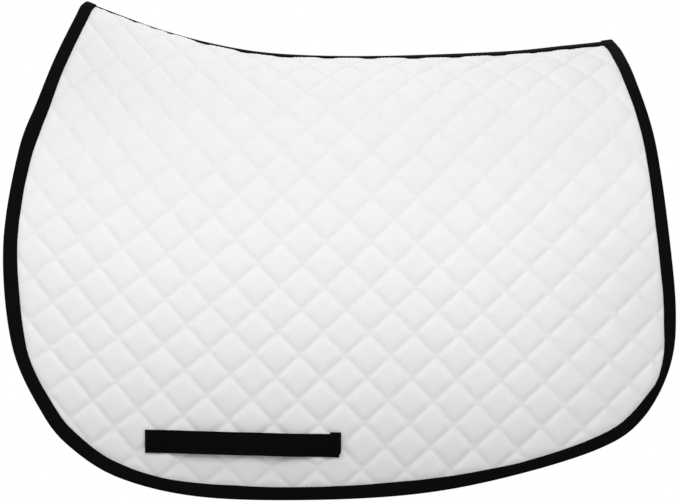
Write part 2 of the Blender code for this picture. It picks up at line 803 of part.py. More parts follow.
def crowns_of_flap(flat):
    """How high the crowns of the diamonds stand on a flap: a keeper's sewn ends press some down."""
    x, s = flat.T
    beside = np.abs(s - down_cloth(x, keeper_line(x))) - KEEPER_WIDTH / 2
    to_front = np.abs(x - KEEPER_FRONT[0] - KEEPER_SEWN / 2)
    to_rear = np.abs(x - KEEPER_REAR[0] + KEEPER_SEWN / 2)
    past = np.minimum(to_front, to_rear) - KEEPER_SEWN / 2
    reached = np.clip(beside, 0, None) + np.clip(past, 0, None) < QUILT / math.sqrt(2)
    return np.where(reached, min(KEEPER_PRESSED_CROWN, PUFF), PUFF)


def keeper_rings(stations, bottoms, tops, rise=0.0):
    """Sections of flat webbing along the keeper's line, at these offsets from the skin."""
    middle = down_cloth(stations, keeper_line(stations)) - rise
    rings = []
    for offset in (bottoms, tops):
        for shift in (-KEEPER_WIDTH / 2, KEEPER_WIDTH / 2):
            place, normal, _ = skin_frame(np.column_stack([stations, middle + shift]))
            rings.append(place + normal * np.asarray(offset)[:, None])
    low_up, low_down, top_up, top_down = rings
    return np.stack([low_up, low_down, top_down, top_up], axis=1)


def girth_keeper(name, side, parent):
    """The webbing loop that the girth passes through, doubled under at both sewn ends."""
    front, rear = KEEPER_FRONT[0], KEEPER_REAR[0]
    count = max(8, round((rear - front) / KEEPER_STEP))
    stations = np.linspace(front, rear, count + 1)
    folds = (front + KEEPER_SEWN, rear - KEEPER_SEWN)
    stations[np.abs(stations - folds[0]).argmin()] = folds[0]
    stations[np.abs(stations - folds[1]).argmin()] = folds[1]
    from_end = np.minimum(stations - folds[0], folds[1] - stations)
    rise = ease(from_end / ((folds[1] - folds[0]) / 4))
    seat = min(KEEPER_PRESSED_CROWN, PUFF) + GAP
    bottoms = seat + (PUFF + KEEPER_LOOP) * rise
    doubled = np.where(from_end < 1e-6, 2, 1)
    tops = bottoms + KEEPER_WEBBING * doubled
    rings = [mirrored(ring, side) for ring in keeper_rings(stations, bottoms, tops)]
    return loft(name, rings, (0, 0, 0, 0), "black_webbing", parent)


def keeper_tab(name, side, parent):
    """The short piece of webbing sewn over the keeper's rear end."""
    rear = KEEPER_REAR[0] + KEEPER_TAB_PAST
    stations = np.linspace(rear - KEEPER_TAB_LENGTH, rear, 3)
    seat = min(KEEPER_PRESSED_CROWN, PUFF) + GAP
    bottoms = np.full(len(stations), seat + 2 * KEEPER_WEBBING + GAP)
    rings = keeper_rings(stations, bottoms, bottoms + KEEPER_WEBBING, KEEPER_TAB_RISE)
    rings = [mirrored(ring, side) for ring in rings]
    return loft(name, rings, (0, 0, 0, 0), "black_webbing", parent)


def main():
    for thing in list(bpy.data.objects):
        bpy.data.objects.remove(thing)
    front, flap, rear = bound_edges()
    back = empty("back", (0, 0, 0))
    panel, ring, spine_lines = back_panel(front, rear)
    flap_pattern, flap_ring = flap_panel(flap)
    layers = (
        ("cover", FACE_TOP, FACE_BACK, "white_cotton"),
        ("foam", FOAM_TOP, FOAM_BACK, "pad_foam"),
        ("lining", LINING_TOP, LINING_BACK, "white_lining"),
    )
    for word, side in (("left", -1), ("right", 1)):
        body = empty(f"{word}_flap", (0, side * AXIS_Y, AXIS_Z))
        for layer, top, below, slot in layers:
            crowns = (crowns_of_back, crowns_of_flap) if layer == "cover" else (None, None)
            name = f"{word}_back_{layer}"
            cloth_layer(name, panel, ring, top, below, -1, side, slot, back, crowns[0])
            name = f"{word}_flap_{layer}"
            cloth_layer(name, flap_pattern, flap_ring, top, below, 1, side, slot, body, crowns[1])
        rings = [mirrored(ring_points, side) for ring_points in binding_rings(flap, 1)]
        loft(f"{word}_flap_binding", rings, BINDING_DEPTHS, "black_tape", body)
        girth_keeper(f"{word}_girth_keeper", side, body)
        keeper_tab(f"{word}_keeper_tab", side, body)
    arch_binding("front_arch_binding", front, back)
    arch_binding("rear_arch_binding", rear, back)
    spine_strip("spine_tape", spine_lines, GAP + SPINE_TAPE, GAP, "black_webbing", back)
    under = LINING_BACK[0] - GAP
    spine_strip("spine_lining_tape", spine_lines, under, under - SPINE_LINING_TAPE, "black_tape", back)


main()
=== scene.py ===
"""Looks of the quilted saddle pad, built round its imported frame.

The spine runs along X with the horse's head towards -X, and its left side is -Y. Each half is
worked out as a flat pattern, x along the spine and s down the cloth from it, and laid over the
back. Every half is made on the +Y side, and the left one is its mirror image.
"""

import math

import bmesh
import bpy
import numpy as np
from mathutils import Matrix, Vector
from mathutils.geometry import delaunay_2d_cdt


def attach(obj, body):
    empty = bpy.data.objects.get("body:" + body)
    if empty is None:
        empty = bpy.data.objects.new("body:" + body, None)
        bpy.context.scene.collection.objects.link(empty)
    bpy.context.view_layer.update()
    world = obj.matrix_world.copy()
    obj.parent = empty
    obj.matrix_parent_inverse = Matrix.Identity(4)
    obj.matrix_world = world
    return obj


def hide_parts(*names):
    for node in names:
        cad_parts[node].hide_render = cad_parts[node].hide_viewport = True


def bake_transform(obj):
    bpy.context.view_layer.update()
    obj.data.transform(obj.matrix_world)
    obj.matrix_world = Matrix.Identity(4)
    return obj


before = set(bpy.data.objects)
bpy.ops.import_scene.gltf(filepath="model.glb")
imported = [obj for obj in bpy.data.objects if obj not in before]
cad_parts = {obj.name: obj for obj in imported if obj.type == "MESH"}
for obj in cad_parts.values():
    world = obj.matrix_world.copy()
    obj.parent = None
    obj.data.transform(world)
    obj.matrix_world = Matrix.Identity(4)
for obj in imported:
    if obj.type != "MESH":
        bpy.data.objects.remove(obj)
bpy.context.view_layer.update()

MILLIMETRE = 0.001

# Section over the back and the flap's flare, as the solids have them
SHOULDER_HALF_WIDTH = 0.100
SHOULDER_Z = -0.1010
CROWN_FRONT = math.radians(3)
CROWN_REAR = math.radians(18)
CROWN_REACH_FRONT = 0.018
CROWN_REACH_REAR = 0.120
SHOULDER_REACH_FRONT = 0.062
SHOULDER_REACH_REAR = 0.016
FLARE = 0.0115
FLARE_DEPTH = 0.080
REAR_TURN = 0.030
REAR_TURN_FROM = 0.120
REAR_TURN_LENGTH = 0.205
FRONT_TURN = 0.014
FRONT_TURN_FROM = -0.180
FRONT_TURN_LENGTH = 0.167
TURN_DEPTH = 0.180
TUCK = 0.006
TUCK_FROM = 0.230
TUCK_DEPTH = 0.120
PAST_ENDS = 0.15
FLARE_SLOPE = math.atan2(FLARE_DEPTH, FLARE)

# Spine and outer edge seen from the side, as (x, z) on the outer skin
SPINE = (
    (-0.3480, 0.0960), (-0.2703, 0.0649), (-0.2060, 0.0404), (-0.1408, 0.0220), (-0.0755, 0.0118),
    (0.0224, 0.0093), (0.1530, 0.0139), (0.2183, 0.0200), (0.2723, 0.0262), (0.3350, 0.0370),
)
OUTLINE = (
    (-0.2722, 0.0656), (-0.2762, 0.0620), (-0.2796, 0.0548), (-0.3009, 0.0100), (-0.3192, -0.0364),
    (-0.3379, -0.0881), (-0.3535, -0.1868), (-0.3447, -0.2861), (-0.3148, -0.3533), (-0.2849, -0.3899),
    (-0.2340, -0.4214), (-0.1527, -0.4403), (-0.0392, -0.4436), (0.0716, -0.4370), (0.1666, -0.4186),
    (0.2561, -0.3906), (0.2989, -0.3606), (0.3264, -0.3093), (0.3329, -0.2516), (0.3238, -0.1616),
    (0.3103, -0.0759), (0.2916, -0.0146), (0.2793, 0.0140), (0.2745, 0.0212), (0.2705, 0.0256),
)

# Quilting lines in the flat pattern
QUILT = 0.0326
HALF_DIAGONAL = QUILT / math.sqrt(2)
QUILT_MIDDLE = -0.0008
ROWS_AT_FRONT = 18.0
ROWS_AT_REAR = 18.4
ROWS_SAG = 0.8
ROWS_HALF = 8
COLUMNS_HALF = 12
ENDS_DRAWN = 0.0044
DRIFT = 0.0031
LEAN = 0.0063
LEAN_AT_ENDS = 0.0043
LEAN_SAG = 0.0060

# Heights over and under the outer skin. The thread draws both faces together.
PUFF = 0.0020
DOME_SHARE = 0.05
RIM_REACH = 0.0036
RIM_FULLNESS = 1.7
SEAM_LIFT = 0.0003
PUCKER = 0.00022
PUCKER_LENGTH = 0.0055
PUCKER_REACH = 0.005
PUCKER_START = 0.0012
SWELL = 0.10
SWELL_LENGTH = 0.047
COVER_FOLDS = 0.00012
COVER_FOLD_LENGTHS = (0.009, 0.016)
LINING_FOLDS = 0.0001
LINING_FOLD_LENGTHS = (0.008, 0.014)
CLOTH_EDGE = -0.0003
CLOTH_LEAST = 0.0004
COVER_BACK = -0.0030
LINING_TOP = -0.0034
LINING_SEAM = -0.0062
LINING_PUFF = 0.0024
LINING_AT_EDGE = -0.0040
BEND_AT_BINDING = 0.007
TUCK_UNDER_TAPE = 0.0022
OPEN_AT_TAPE = 0.15

# Tapes and webbing
BINDING_WIDTH = 0.0135
BINDING_TAPE = 0.0013
BINDING_NOSE = 0.0031
BINDING_ROW = 0.866
# The binding steps up over the spine tape's end, which it presses in
WEBBING_STEP = 0.004
WEBBING_SUNK = 0.0006
BINDING_SWAY = 0.00015
BINDING_SWAY_LENGTH = 0.017
BINDING_PUCKER = 0.00018
BINDING_PUCKER_LENGTH = 0.007
# How much wider or narrower the tape was sewn on, at shares of the edge's length, in millimetres
BINDING_WANDER = (
    (0, -1.6), (0.06, -0.8), (0.095, 1.0), (0.13, -0.4), (0.17, 0.9), (0.21, 2.6), (0.26, 2.0),
    (0.315, 4.2), (0.34, 3.0), (0.39, -0.1), (0.44, 1.3), (0.48, 0), (0.56, 1.4), (0.60, 0),
    (0.64, -2.0), (0.72, 0.6), (0.742, -0.4), (0.76, -5.2), (0.80, -0.6), (0.85, -0.7), (0.95, -2.3),
    (1, -0.6),
)
SPINE_TAPE_WIDTH = 0.025
SPINE_TAPE = 0.0016
SPINE_LINING_TAPE = 0.0008
SPINE_TAPE_IN = 0.0040
SPINE_TAPE_SEAT = -0.0001
SPINE_TAPE_SWAY = 0.00035
SPINE_TAPE_SWAY_LENGTH = 0.041
SPINE_ROUNDING = 0.0025
SELVEDGE_DROP = 0.45
# The rows of stitches along the spine tape: their share of its half width, how far in they begin and
# end, and the least share of the half width that can take a row
SPINE_ROW = 0.84
SPINE_ROW_IN = 0.008
SPINE_ROW_LEAST = 0.4
ROW_GROOVE = 0.00012
# The spine tape was sewn on askew over the withers: places along it, with the share of its half width
# that lies on the left side there and the share of its thickness
SPINE_TAPE_ASKEW = (
    (-0.262, 0.10, 0.8), (-0.235, 0.24, 0.95), (-0.220, 0.24, 0.95), (-0.200, 0.20, 0.75),
    (-0.180, 0.28, 0.8), (-0.160, 0.50, 0.9), (-0.145, 0.65, 0.9), (-0.115, 0.72, 1),
    (-0.085, 1, 1), (-0.030, 0.72, 1), (0.040, 0.72, 1), (0.075, 1, 1),
)
KEEPER_WEBBING = 0.0015
KEEPER_DOUBLED = 1.95
KEEPER_WIDTH = 0.0235
KEEPER_FRONT = (-0.2085, -0.3832)
KEEPER_REAR = (-0.0110, -0.3878)
KEEPER_SEWN = 0.018
KEEPER_LOOP = 0.0070
KEEPER_RISE_SHARE = 0.25
KEEPER_SLACK = 0.0040
KEEPER_SEAT = 0.0017
KEEPER_TAB_LENGTH = 0.0112
KEEPER_TAB_RISE = 0.0020
KEEPER_TAB_PAST = 0.0020
KEEPER_TAB_ROUND = 0.005
KEEPER_END_ROUND = 0.0016
KEEPER_SWAY = 0.00025
KEEPER_SWAY_LENGTH = 0.020
# How far in the rows of stitches lie: from the keeper's front end and its fold, and from the tab's ends
KEEPER_ROWS = (0.0035, 0.0030)
KEEPER_TAB_ROWS = (0.0028, 0.0022)
KEEPER_ROW_DEPTH = 0.0004
KEEPER_ROW_SPREAD = 0.0011
KEEPER_TAB_ROW_SPREAD = 0.0010
# The cloth round the keeper's ends, which they press down
KEEPER_MARGIN = 0.0008
PRESS_GAP = 0.0004
PRESS_DEPTH = 0.010
PRESS_REACH = 0.020

# How far under the binding and the spine tape the cloth's raw edge lies
RAW_EDGE = 0.0036
RAW_SPINE = 0.0003

# How far apart the points of the outer edge lie, and how far from it those of a plain back begin
EDGE_STEP = 0.003
BACK_MARGIN = 0.006

# The photograph is 679 by 503 pixels, at 1.02 mm to a pixel on the side of the pad
PHOTO_WIDTH = 679
PIXEL = 0.00102
VIEW_MIDDLE = (-0.0107, -0.1904)
VIEW_DEPTH_Y = -0.075
CAMERA_DISTANCE = 13.0
SENSOR = 36.0
CAMERA_FAR = 40
FLOOR_Z = -1.50
FLOOR_HALF = 6.0

# Where each diamond of the two faces has its points, as shares of its side
COVER_SHARES = (
    0, 0.022, 0.052, 0.092, 0.145, 0.215, 0.30, 0.40, 0.5, 0.60, 0.70, 0.785, 0.855, 0.908, 0.948, 0.978
)
LINING_SHARES = (0, 0.04, 0.1, 0.2, 0.35, 0.5, 0.65, 0.8, 0.9, 0.96)

SIDE_NAMES = {-1: "left", 1: "right"}

# Stitches
THREAD_PITCH = 0.0033
KEEPER_PITCH = 0.0026
STITCH_SHARE = 0.72
# Shares of a stitch's length and of its full width there, and how far its narrow ends dip in
STITCH_SHAPE = ((0, 0.45), (0.22, 1), (0.78, 1), (1, 0.45))
STITCH_DIP = 2.2
BLACK_THREAD_WIDTH = 0.0006
WHITE_THREAD_WIDTH = 0.00055
WHITE_THREAD_SINK = 0.35
THREAD_SUNK = 0.0002
THREAD_CLEARANCE = 0.0008

# Colours in linear light
COTTON_COLOUR = (0.83, 0.83, 0.83)
LINING_COLOUR = (0.80, 0.80, 0.79)
BLACK_TWILL = (0.0034, 0.0034, 0.0036)
BLACK_WEBBING = (0.0026, 0.0026, 0.0028)
BLACK_THREAD_COLOUR = (0.0045, 0.0045, 0.0047)
FLOOR_COLOUR = (0.8, 0.8, 0.8)

# Weaves: how far apart the ridges are along the cloth and down it, None where level, and their share
COTTON_WEAVE = ((0.00062, 0.00062, 1.0),)
LINING_WEAVE = ((0.0007, None, 0.5), (None, 0.0007, 0.5))
TWILL_WEAVE = ((0.0010, 0.0010, 1.0),)
WEBBING_WEAVE = ((0.0014, None, 0.7), (None, 0.0011, 0.3))
BLOTCH_SCALE = 55

# Light
AMBIENT = 0.48
KEY_PLACE = (-0.33, -0.46, -0.155)
KEY_AIM = (-0.33, -0.11, -0.155)
KEY_SIZE = (2.30, 0.30)
KEY_POWER = 3.15
TOP_PLACE = (-0.02, 0.0, 0.75)
TOP_AIM = (0.0, 0.0, 0.0)
TOP_SIZE = (1.20, 0.30)
TOP_POWER = 4.8


def unit(vectors):
    """The vectors' directions, with the length 1."""
    return vectors / np.linalg.norm(vectors, axis=1)[:, None]


def lengths_along(path):
    """The length of the path up to each of its points."""
    return np.concatenate([[0], np.cumsum(np.linalg.norm(np.diff(path, axis=0), axis=1))])


def read_along(at, lengths, table):
    """The table's rows at these lengths along it."""
    return np.column_stack([np.interp(at, lengths, column) for column in table.T])


def seed_for(first, side):
    """The seed of one side's noise, as each side has its own small folds."""
    return first if side < 0 else first + 1


def smooth_curve(points, steps):
    """A curve through the points: each stretch bends as its neighbours lead it."""
    points = np.array(points)
    ends = [2 * points[0] - points[1], *points, 2 * points[-1] - points[-2]]
    t = np.linspace(0, 1, steps, endpoint=False)[:, None]
    places = []
    for p0, p1, p2, p3 in zip(ends, ends[1:], ends[2:], ends[3:]):
        bend = 2 * p0 - 5 * p1 + 4 * p2 - p3
        turn = 3 * (p1 - p2) + p3 - p0
        places.append(p1 + 0.5 * t * (p2 - p0 + t * (bend + t * turn)))
    return np.vstack([*places, [points[-1]]])


SPINE_CURVE = smooth_curve(SPINE, 12)


def ease(value):
    """0 below 0 and 1 above 1, with a smooth change between."""
    value = np.clip(value, 0, 1)
    return value * value * (3 - 2 * value)


def rounded(value):
    """A quarter circle's rise: steep at 0, level at 1."""
    value = np.clip(value, 0, 1)
    return np.sqrt(1 - (1 - value) ** 2)


def along_spine(x):
    """0 where the spine starts at the front, 1 where it ends at the rear."""
    return (x - OUTLINE[0][0]) / (OUTLINE[-1][0] - OUTLINE[0][0])


def flap_turn(x, depth):
    """How far a flap's front and rear edges and its hem come in towards the horse."""
    rear = REAR_TURN * np.clip((x - REAR_TURN_FROM) / REAR_TURN_LENGTH, 0, None) ** 2
    front = FRONT_TURN * np.clip((FRONT_TURN_FROM - x) / FRONT_TURN_LENGTH, 0, None) ** 2
    tuck = TUCK * np.clip((depth - TUCK_FROM) / TUCK_DEPTH, 0, None) ** 2
    return (rear + front) * ease(depth / TURN_DEPTH) + tuck


def sections(x, steps):
    """The outer skin's section at each x, as rows of (s, y, z) from the spine down past the hem."""
    x = x[:, None]
    spine_z = np.interp(x, SPINE_CURVE[:, 0], SPINE_CURVE[:, 1])
    along = np.clip(along_spine(x), -PAST_ENDS, 1 + PAST_ENDS)
    crown = CROWN_FRONT + (CROWN_REAR - CROWN_FRONT) * along
    reach = CROWN_REACH_FRONT + (CROWN_REACH_REAR - CROWN_REACH_FRONT) * along
    shoulder = SHOULDER_REACH_FRONT + (SHOULDER_REACH_REAR - SHOULDER_REACH_FRONT) * along
    t = np.linspace(0, 1, steps + 1)[None, :]
    weights = ((1 - t) ** 3, 3 * t * (1 - t) ** 2, 3 * t**2 * (1 - t), t**3)
    bend_y = SHOULDER_HALF_WIDTH - shoulder * math.cos(FLARE_SLOPE)
    bend_z = SHOULDER_Z + shoulder * math.sin(FLARE_SLOPE)
    y_points = (0, reach * np.cos(crown), bend_y, SHOULDER_HALF_WIDTH)
    z_points = (spine_z, spine_z - reach * np.sin(crown), bend_z, SHOULDER_Z)
    roof_y = sum(weight * y for weight, y in zip(weights, y_points))
    roof_z = sum(weight * z for weight, z in zip(weights, z_points))
    deepest = SHOULDER_Z - min(z for _, z in OUTLINE) + 2 * BINDING_WIDTH
    depth = np.linspace(0, deepest, steps + 1)[None, 1:]
    flare = FLARE * (1 - np.exp(-depth / FLARE_DEPTH))
    flap_y = SHOULDER_HALF_WIDTH + flare - flap_turn(x, depth)
    y = np.hstack([roof_y, flap_y])
    z = np.hstack([roof_z, SHOULDER_Z - depth + 0 * x])
    s = np.hstack([0 * x, np.cumsum(np.hypot(np.diff(y), np.diff(z)), axis=1)])
    return s, y, z


class Skin:
    """The outer skin as a table over the flat pattern, fine enough to read between its points."""

    def __init__(self, x_step=0.002, s_step=0.001, margin=0.024, steps=240):
        self.x_step, self.s_step = x_step, s_step
        low = min(x for x, _ in OUTLINE) - margin
        high = max(x for x, _ in OUTLINE) + margin
        self.xs = np.arange(low, high, x_step)
        s, y, z = sections(self.xs, steps)
        self.downs = np.arange(0, s[:, -1].min(), s_step)
        self.y = np.array([np.interp(self.downs, *rows) for rows in zip(s, y)])
        self.z = np.array([np.interp(self.downs, *rows) for rows in zip(s, z)])

    def place(self, flat):
        """The place on the skin of each flat point (x, s); past the spine it runs on level."""
        across = np.clip((flat[:, 0] - self.xs[0]) / self.x_step, 0, len(self.xs) - 1.001)
        down = np.clip(flat[:, 1] / self.s_step, 0, len(self.downs) - 1.001)
        i, j = across.astype(int), down.astype(int)
        u, v = across - i, down - j
        read = []
        for table in (self.y, self.z):
            near = (1 - v) * table[i, j] + v * table[i, j + 1]
            far = (1 - v) * table[i + 1, j] + v * table[i + 1, j + 1]
            read.append((1 - u) * near + u * far)
        return np.column_stack([flat[:, 0], read[0] + np.minimum(flat[:, 1], 0), read[1]])

    def frame(self, flat, reach=0.003):
        """Place and outward normal at each flat point."""
        run = self.place(flat + (reach, 0)) - self.place(flat - (reach, 0))
        low = np.maximum(flat - (0, reach), (-np.inf, 0))
        fall = self.place(flat + (0, reach)) - self.place(low)
        return self.place(flat), unit(np.cross(run, unit(fall)))

    def down_cloth(self, x, z):
        """How far down the cloth the height z lies, at each x."""
        found = np.empty(len(x))
        for k, (at, height) in enumerate(zip(x, z)):
            column = np.interp(at, self.xs, np.arange(len(self.xs)))
            i = min(int(column), len(self.xs) - 2)
            heights = self.z[i] + (column - i) * (self.z[i + 1] - self.z[i])
            found[k] = np.interp(-height, -heights, self.downs)
        return found

    def lifted(self, flat, height):
        """Points this high over the skin."""
        place, normal = self.frame(flat)
        return place + normal * np.asarray(height)[..., None]


SKIN = Skin()


def flat_outline():
    """The outer edge of a half in the flat pattern, from the front of the spine round to its rear."""
    seen = smooth_curve(OUTLINE, 24)
    flat = np.column_stack([seen[:, 0], SKIN.down_cloth(seen[:, 0], seen[:, 1])])
    flat[[0, -1], 1] = 0
    return flat


def resampled(path, step):
    """The path cut into equal steps of about this length."""
    lengths = lengths_along(path)
    at = np.linspace(0, lengths[-1], max(2, round(lengths[-1] / step)) + 1)
    return read_along(at, lengths, path)


EDGE = resampled(flat_outline(), EDGE_STEP)
EDGE_LENGTH = lengths_along(EDGE)


def quilting(flat):
    """(a, b) at flat points: both are whole numbers where the sewn lines cross."""
    x, s = flat.T
    along = along_spine(x)
    rows = ROWS_AT_FRONT + (ROWS_AT_REAR - ROWS_AT_FRONT) * along - ROWS_SAG * 4 * along * (1 - along)
    row = s / HALF_DIAGONAL - rows
    q = (row + ROWS_HALF) / ROWS_HALF
    span = COLUMNS_HALF * HALF_DIAGONAL
    place = (x - QUILT_MIDDLE) / span
    # The bend depends on the place it leads to, so both are found by turns
    for _ in range(6):
        bent = (
            -ENDS_DRAWN * place**3
            - DRIFT * q * (1 + q)
            + LEAN * place * q
            - LEAN_AT_ENDS * place**2 * q
            - LEAN_SAG * place * q**2
        )
        place = (x - QUILT_MIDDLE - bent) / span
    column = place * COLUMNS_HALF
    return np.column_stack([(column + row) / 2, (column - row) / 2])


def flat_places(lattice):
    """The flat point of each (a, b), drawn nearer step by step from the middle of the half."""
    flat = np.full(lattice.shape, (0, 0.30))
    for _ in range(11):
        off = lattice - quilting(flat)
        flat += HALF_DIAGONAL * np.column_stack([off.sum(axis=1), off[:, 0] - off[:, 1]])
    return flat


def tape_width():
    """The binding's width at each point of the edge."""
    place = SKIN.place(EDGE)
    steps = np.hypot(np.diff(place[:, 0]), np.diff(place[:, 2]))
    share = np.concatenate([[0], np.cumsum(steps)]) / steps.sum()
    marks, wander = zip(*BINDING_WANDER)
    fine = np.linspace(0, 1, 600)
    wander = np.interp(fine, marks, wander)
    soft = np.hanning(13)
    wander = np.convolve(np.pad(wander, len(soft) // 2, "edge"), soft / soft.sum(), "valid")
    return BINDING_WIDTH + MILLIMETRE * np.interp(share, fine, wander)


TAPE_WIDTH = tape_width()


def edge_distance(points):
    """How far inside the outer edge each flat point lies, below 0 outside, and its nearest edge point."""
    nearest = np.full(len(points), np.inf)
    at = np.zeros(len(points), int)
    crossed = np.zeros(len(points), bool)
    for k, (start, end) in enumerate(zip(EDGE, np.roll(EDGE, -1, axis=0))):
        run = end - start
        spans = (points[:, 1] < start[1]) != (points[:, 1] < end[1])
        if spans.any():
            crossing = start[0] + (points[:, 1] - start[1]) * run[0] / (run[1] or 1)
            crossed ^= spans & (points[:, 0] < crossing)
        if start[1] < 1e-9 and end[1] < 1e-9:
            continue
        share = np.clip((points - start) @ run / (run @ run), 0, 1)
        off = points - start - share[:, None] * run
        distance = np.hypot(*off.T)
        closer = distance < nearest
        nearest[closer] = distance[closer]
        at[closer] = k
    return np.where(crossed | (points[:, 1] < 0), nearest, -nearest), at


def noise(x, y, seed):
    """Smooth noise between -1 and 1, with about one swell to a unit."""
    size = 64
    table = np.random.default_rng(seed).uniform(-1, 1, (size, size))
    i, j = np.floor(x).astype(int), np.floor(y).astype(int)
    u, v = ease(x - i), ease(y - j)
    corners = [table[(i + di) % size, (j + dj) % size] for di, dj in ((0, 0), (1, 0), (0, 1), (1, 1))]
    near = corners[0] + u * (corners[1] - corners[0])
    far = corners[2] + u * (corners[3] - corners[2])
    return near + v * (far - near)


class Quilt:
    """A half of the pad cut along the quilting lattice and clipped to the raw edge."""

    def __init__(self, shares):
        corner = quilting(EDGE)
        low = np.floor(corner.min(axis=0)).astype(int)
        high = np.ceil(corner.max(axis=0)).astype(int)
        lines = [np.concatenate([k + np.array(shares) for k in range(*ends)]) for ends in zip(low, high)]
        a, b = np.meshgrid(*lines, indexing="ij")
        lattice = np.column_stack([a.ravel(), b.ravel()])
        flat = flat_places(lattice)
        # Places far from the pad count as outside it and aren't measured
        near = (np.abs(flat[:, 0]) < 0.40) & (flat[:, 1] > -0.02) & (flat[:, 1] < 0.60)
        level = np.full(len(flat), -1.0)
        edge, _ = edge_distance(flat[near])
        level[near] = np.minimum(edge - RAW_EDGE, flat[near, 1] - RAW_SPINE)
        index = np.arange(len(flat)).reshape(a.shape)
        cells = np.stack([index[:-1, :-1], index[1:, :-1], index[1:, 1:], index[:-1, 1:]], axis=-1)
        cells = cells.reshape(-1, 4)
        kept = (level[cells] > 0).sum(axis=1)
        faces = cells[kept == 4].tolist()
        made = {}
        extra = []

        def cut(i, j):
            """The vertex where the side from i to j meets the raw edge."""
            key = (min(i, j), max(i, j))
            if key not in made:
                first, last = key
                share = level[first] / (level[first] - level[last])
                made[key] = len(flat) + len(extra)
                extra.append(lattice[first] + share * (lattice[last] - lattice[first]))
            return made[key]

        for cell in cells[(kept > 0) & (kept < 4)].tolist():
            face = []
            for i, j in zip(cell, cell[1:] + cell[:1]):
                if level[i] > 0:
                    face.append(i)
                if (level[i] > 0) != (level[j] > 0):
                    face.append(cut(i, j))
            if len(face) > 2:
                faces.append(face)
        lattice = np.vstack([lattice, extra])
        used = np.unique([v for face in faces for v in face])
        new = np.full(len(lattice), -1)
        new[used] = np.arange(len(used))
        self.lattice = lattice[used]
        self.flat = flat_places(self.lattice)
        self.faces = [[int(new[v]) for v in face] for face in faces]
        self.edge, at = edge_distance(self.flat)
        self.tape = TAPE_WIDTH[at]
        self.ring = self.find_ring()

    def find_ring(self):
        """The vertices round the raw edge, in order."""
        sides = {(i, j) for face in self.faces for i, j in zip(face, face[1:] + face[:1])}
        follows = {i: j for i, j in sides if (j, i) not in sides}
        ring = [min(follows)]
        while follows[ring[-1]] != ring[0]:
            ring.append(follows[ring[-1]])
        if len(ring) != len(follows):
            raise ValueError("the raw edge isn't one ring")
        return ring

    def backing(self):
        """Coarser triangles over the same outline: extra flat points, and faces on ring and extras."""
        ring_flat = self.flat[self.ring]
        crossing = np.abs(self.lattice - np.round(self.lattice)).max(axis=1) < 1e-6
        off_edge = np.minimum(self.edge - RAW_EDGE, self.flat[:, 1])
        inner = np.flatnonzero(crossing & (off_edge > BACK_MARGIN))
        # The triangles are found in millimetres
        points = [Vector(p * 1000) for p in np.vstack([ring_flat, self.flat[inner]])]
        sides = [(k, (k + 1) % len(self.ring)) for k in range(len(self.ring))]
        _, _, faces, origins, _, _ = delaunay_2d_cdt(points, sides, [], 1, 1e-7)
        names = [old[0] for old in origins]
        return inner, [[names[v] for v in face] for face in faces]


def rise_from_seam(reach):
    """How far up a puffed face is at this distance from a sewn line, 1 in a diamond's middle."""
    return 1 - np.exp(-(reach / RIM_REACH) ** RIM_FULLNESS)


def pillow(quilt):
    """How full each place of a diamond is: 0 on a sewn line, 1 on the crown."""
    share = quilt.lattice - np.floor(quilt.lattice)
    reach = np.minimum(share, 1 - share) * QUILT
    edges = rise_from_seam(reach)
    arch = np.sin(math.pi * share)
    full = (1 - DOME_SHARE) * edges[:, 0] * edges[:, 1] + DOME_SHARE * arch[:, 0] * arch[:, 1]
    return full, arch


def puckers(quilt, seed):
    """Short folds across the sewn lines, drawn up by the thread, between -1 and 1."""
    total = 0
    for way in (0, 1):
        line = np.round(quilt.lattice[:, way])
        off = np.abs(quilt.lattice[:, way] - line) * QUILT
        along = quilt.lattice[:, 1 - way] * QUILT / PUCKER_LENGTH
        strength = np.exp(-off / PUCKER_REACH) * (1 - np.exp(-off / PUCKER_START))
        # Each sewn line has a row of the noise of its own
        total = total + strength * noise(along, line * 3.7 + 0.5 + 17 * way, seed)
    return total


def spine_tape_reach(x, side):
    """How far down one side the spine tape reaches at each x, and the share of its thickness there."""
    places, on_left, thickness = np.transpose(SPINE_TAPE_ASKEW)
    share = np.interp(x, places, on_left) if side < 0 else 1
    return share * SPINE_TAPE_WIDTH / 2 + 0 * x, np.interp(x, places, thickness)


def tape_clearance(quilt, side=1):
    """How far each place lies past the tapes' edges."""
    x, s = quilt.flat.T
    return np.minimum(quilt.edge - quilt.tape, s - spine_tape_reach(x, side)[0])


def opening_up(quilt, side=1):
    """0 under the tapes, 1 where the quilting is free of them."""
    clear = tape_clearance(quilt, side)
    return rounded(clear / BEND_AT_BINDING) * ease(OPEN_AT_TAPE + clear / TUCK_UNDER_TAPE)


def cover_height(quilt, side):
    """Height of the quilted face over the skin."""
    full, arch = pillow(quilt)
    x, s = quilt.flat.T
    along, down = COVER_FOLD_LENGTHS
    swell = 1 + SWELL * noise(x / SWELL_LENGTH, s / SWELL_LENGTH, seed_for(11, side))
    lift = SEAM_LIFT * (arch**2).sum(axis=1) / 2
    folds = COVER_FOLDS * noise(x / along, s / down, seed_for(31, side))
    folds += PUCKER * puckers(quilt, seed_for(51, side))
    open_part = opening_up(quilt, side)
    raised = (PUFF * full * swell + lift + folds * full) * open_part
    pressed = keeper_press(quilt.flat)
    return CLOTH_EDGE * (1 - open_part) + np.minimum(raised, pressed)


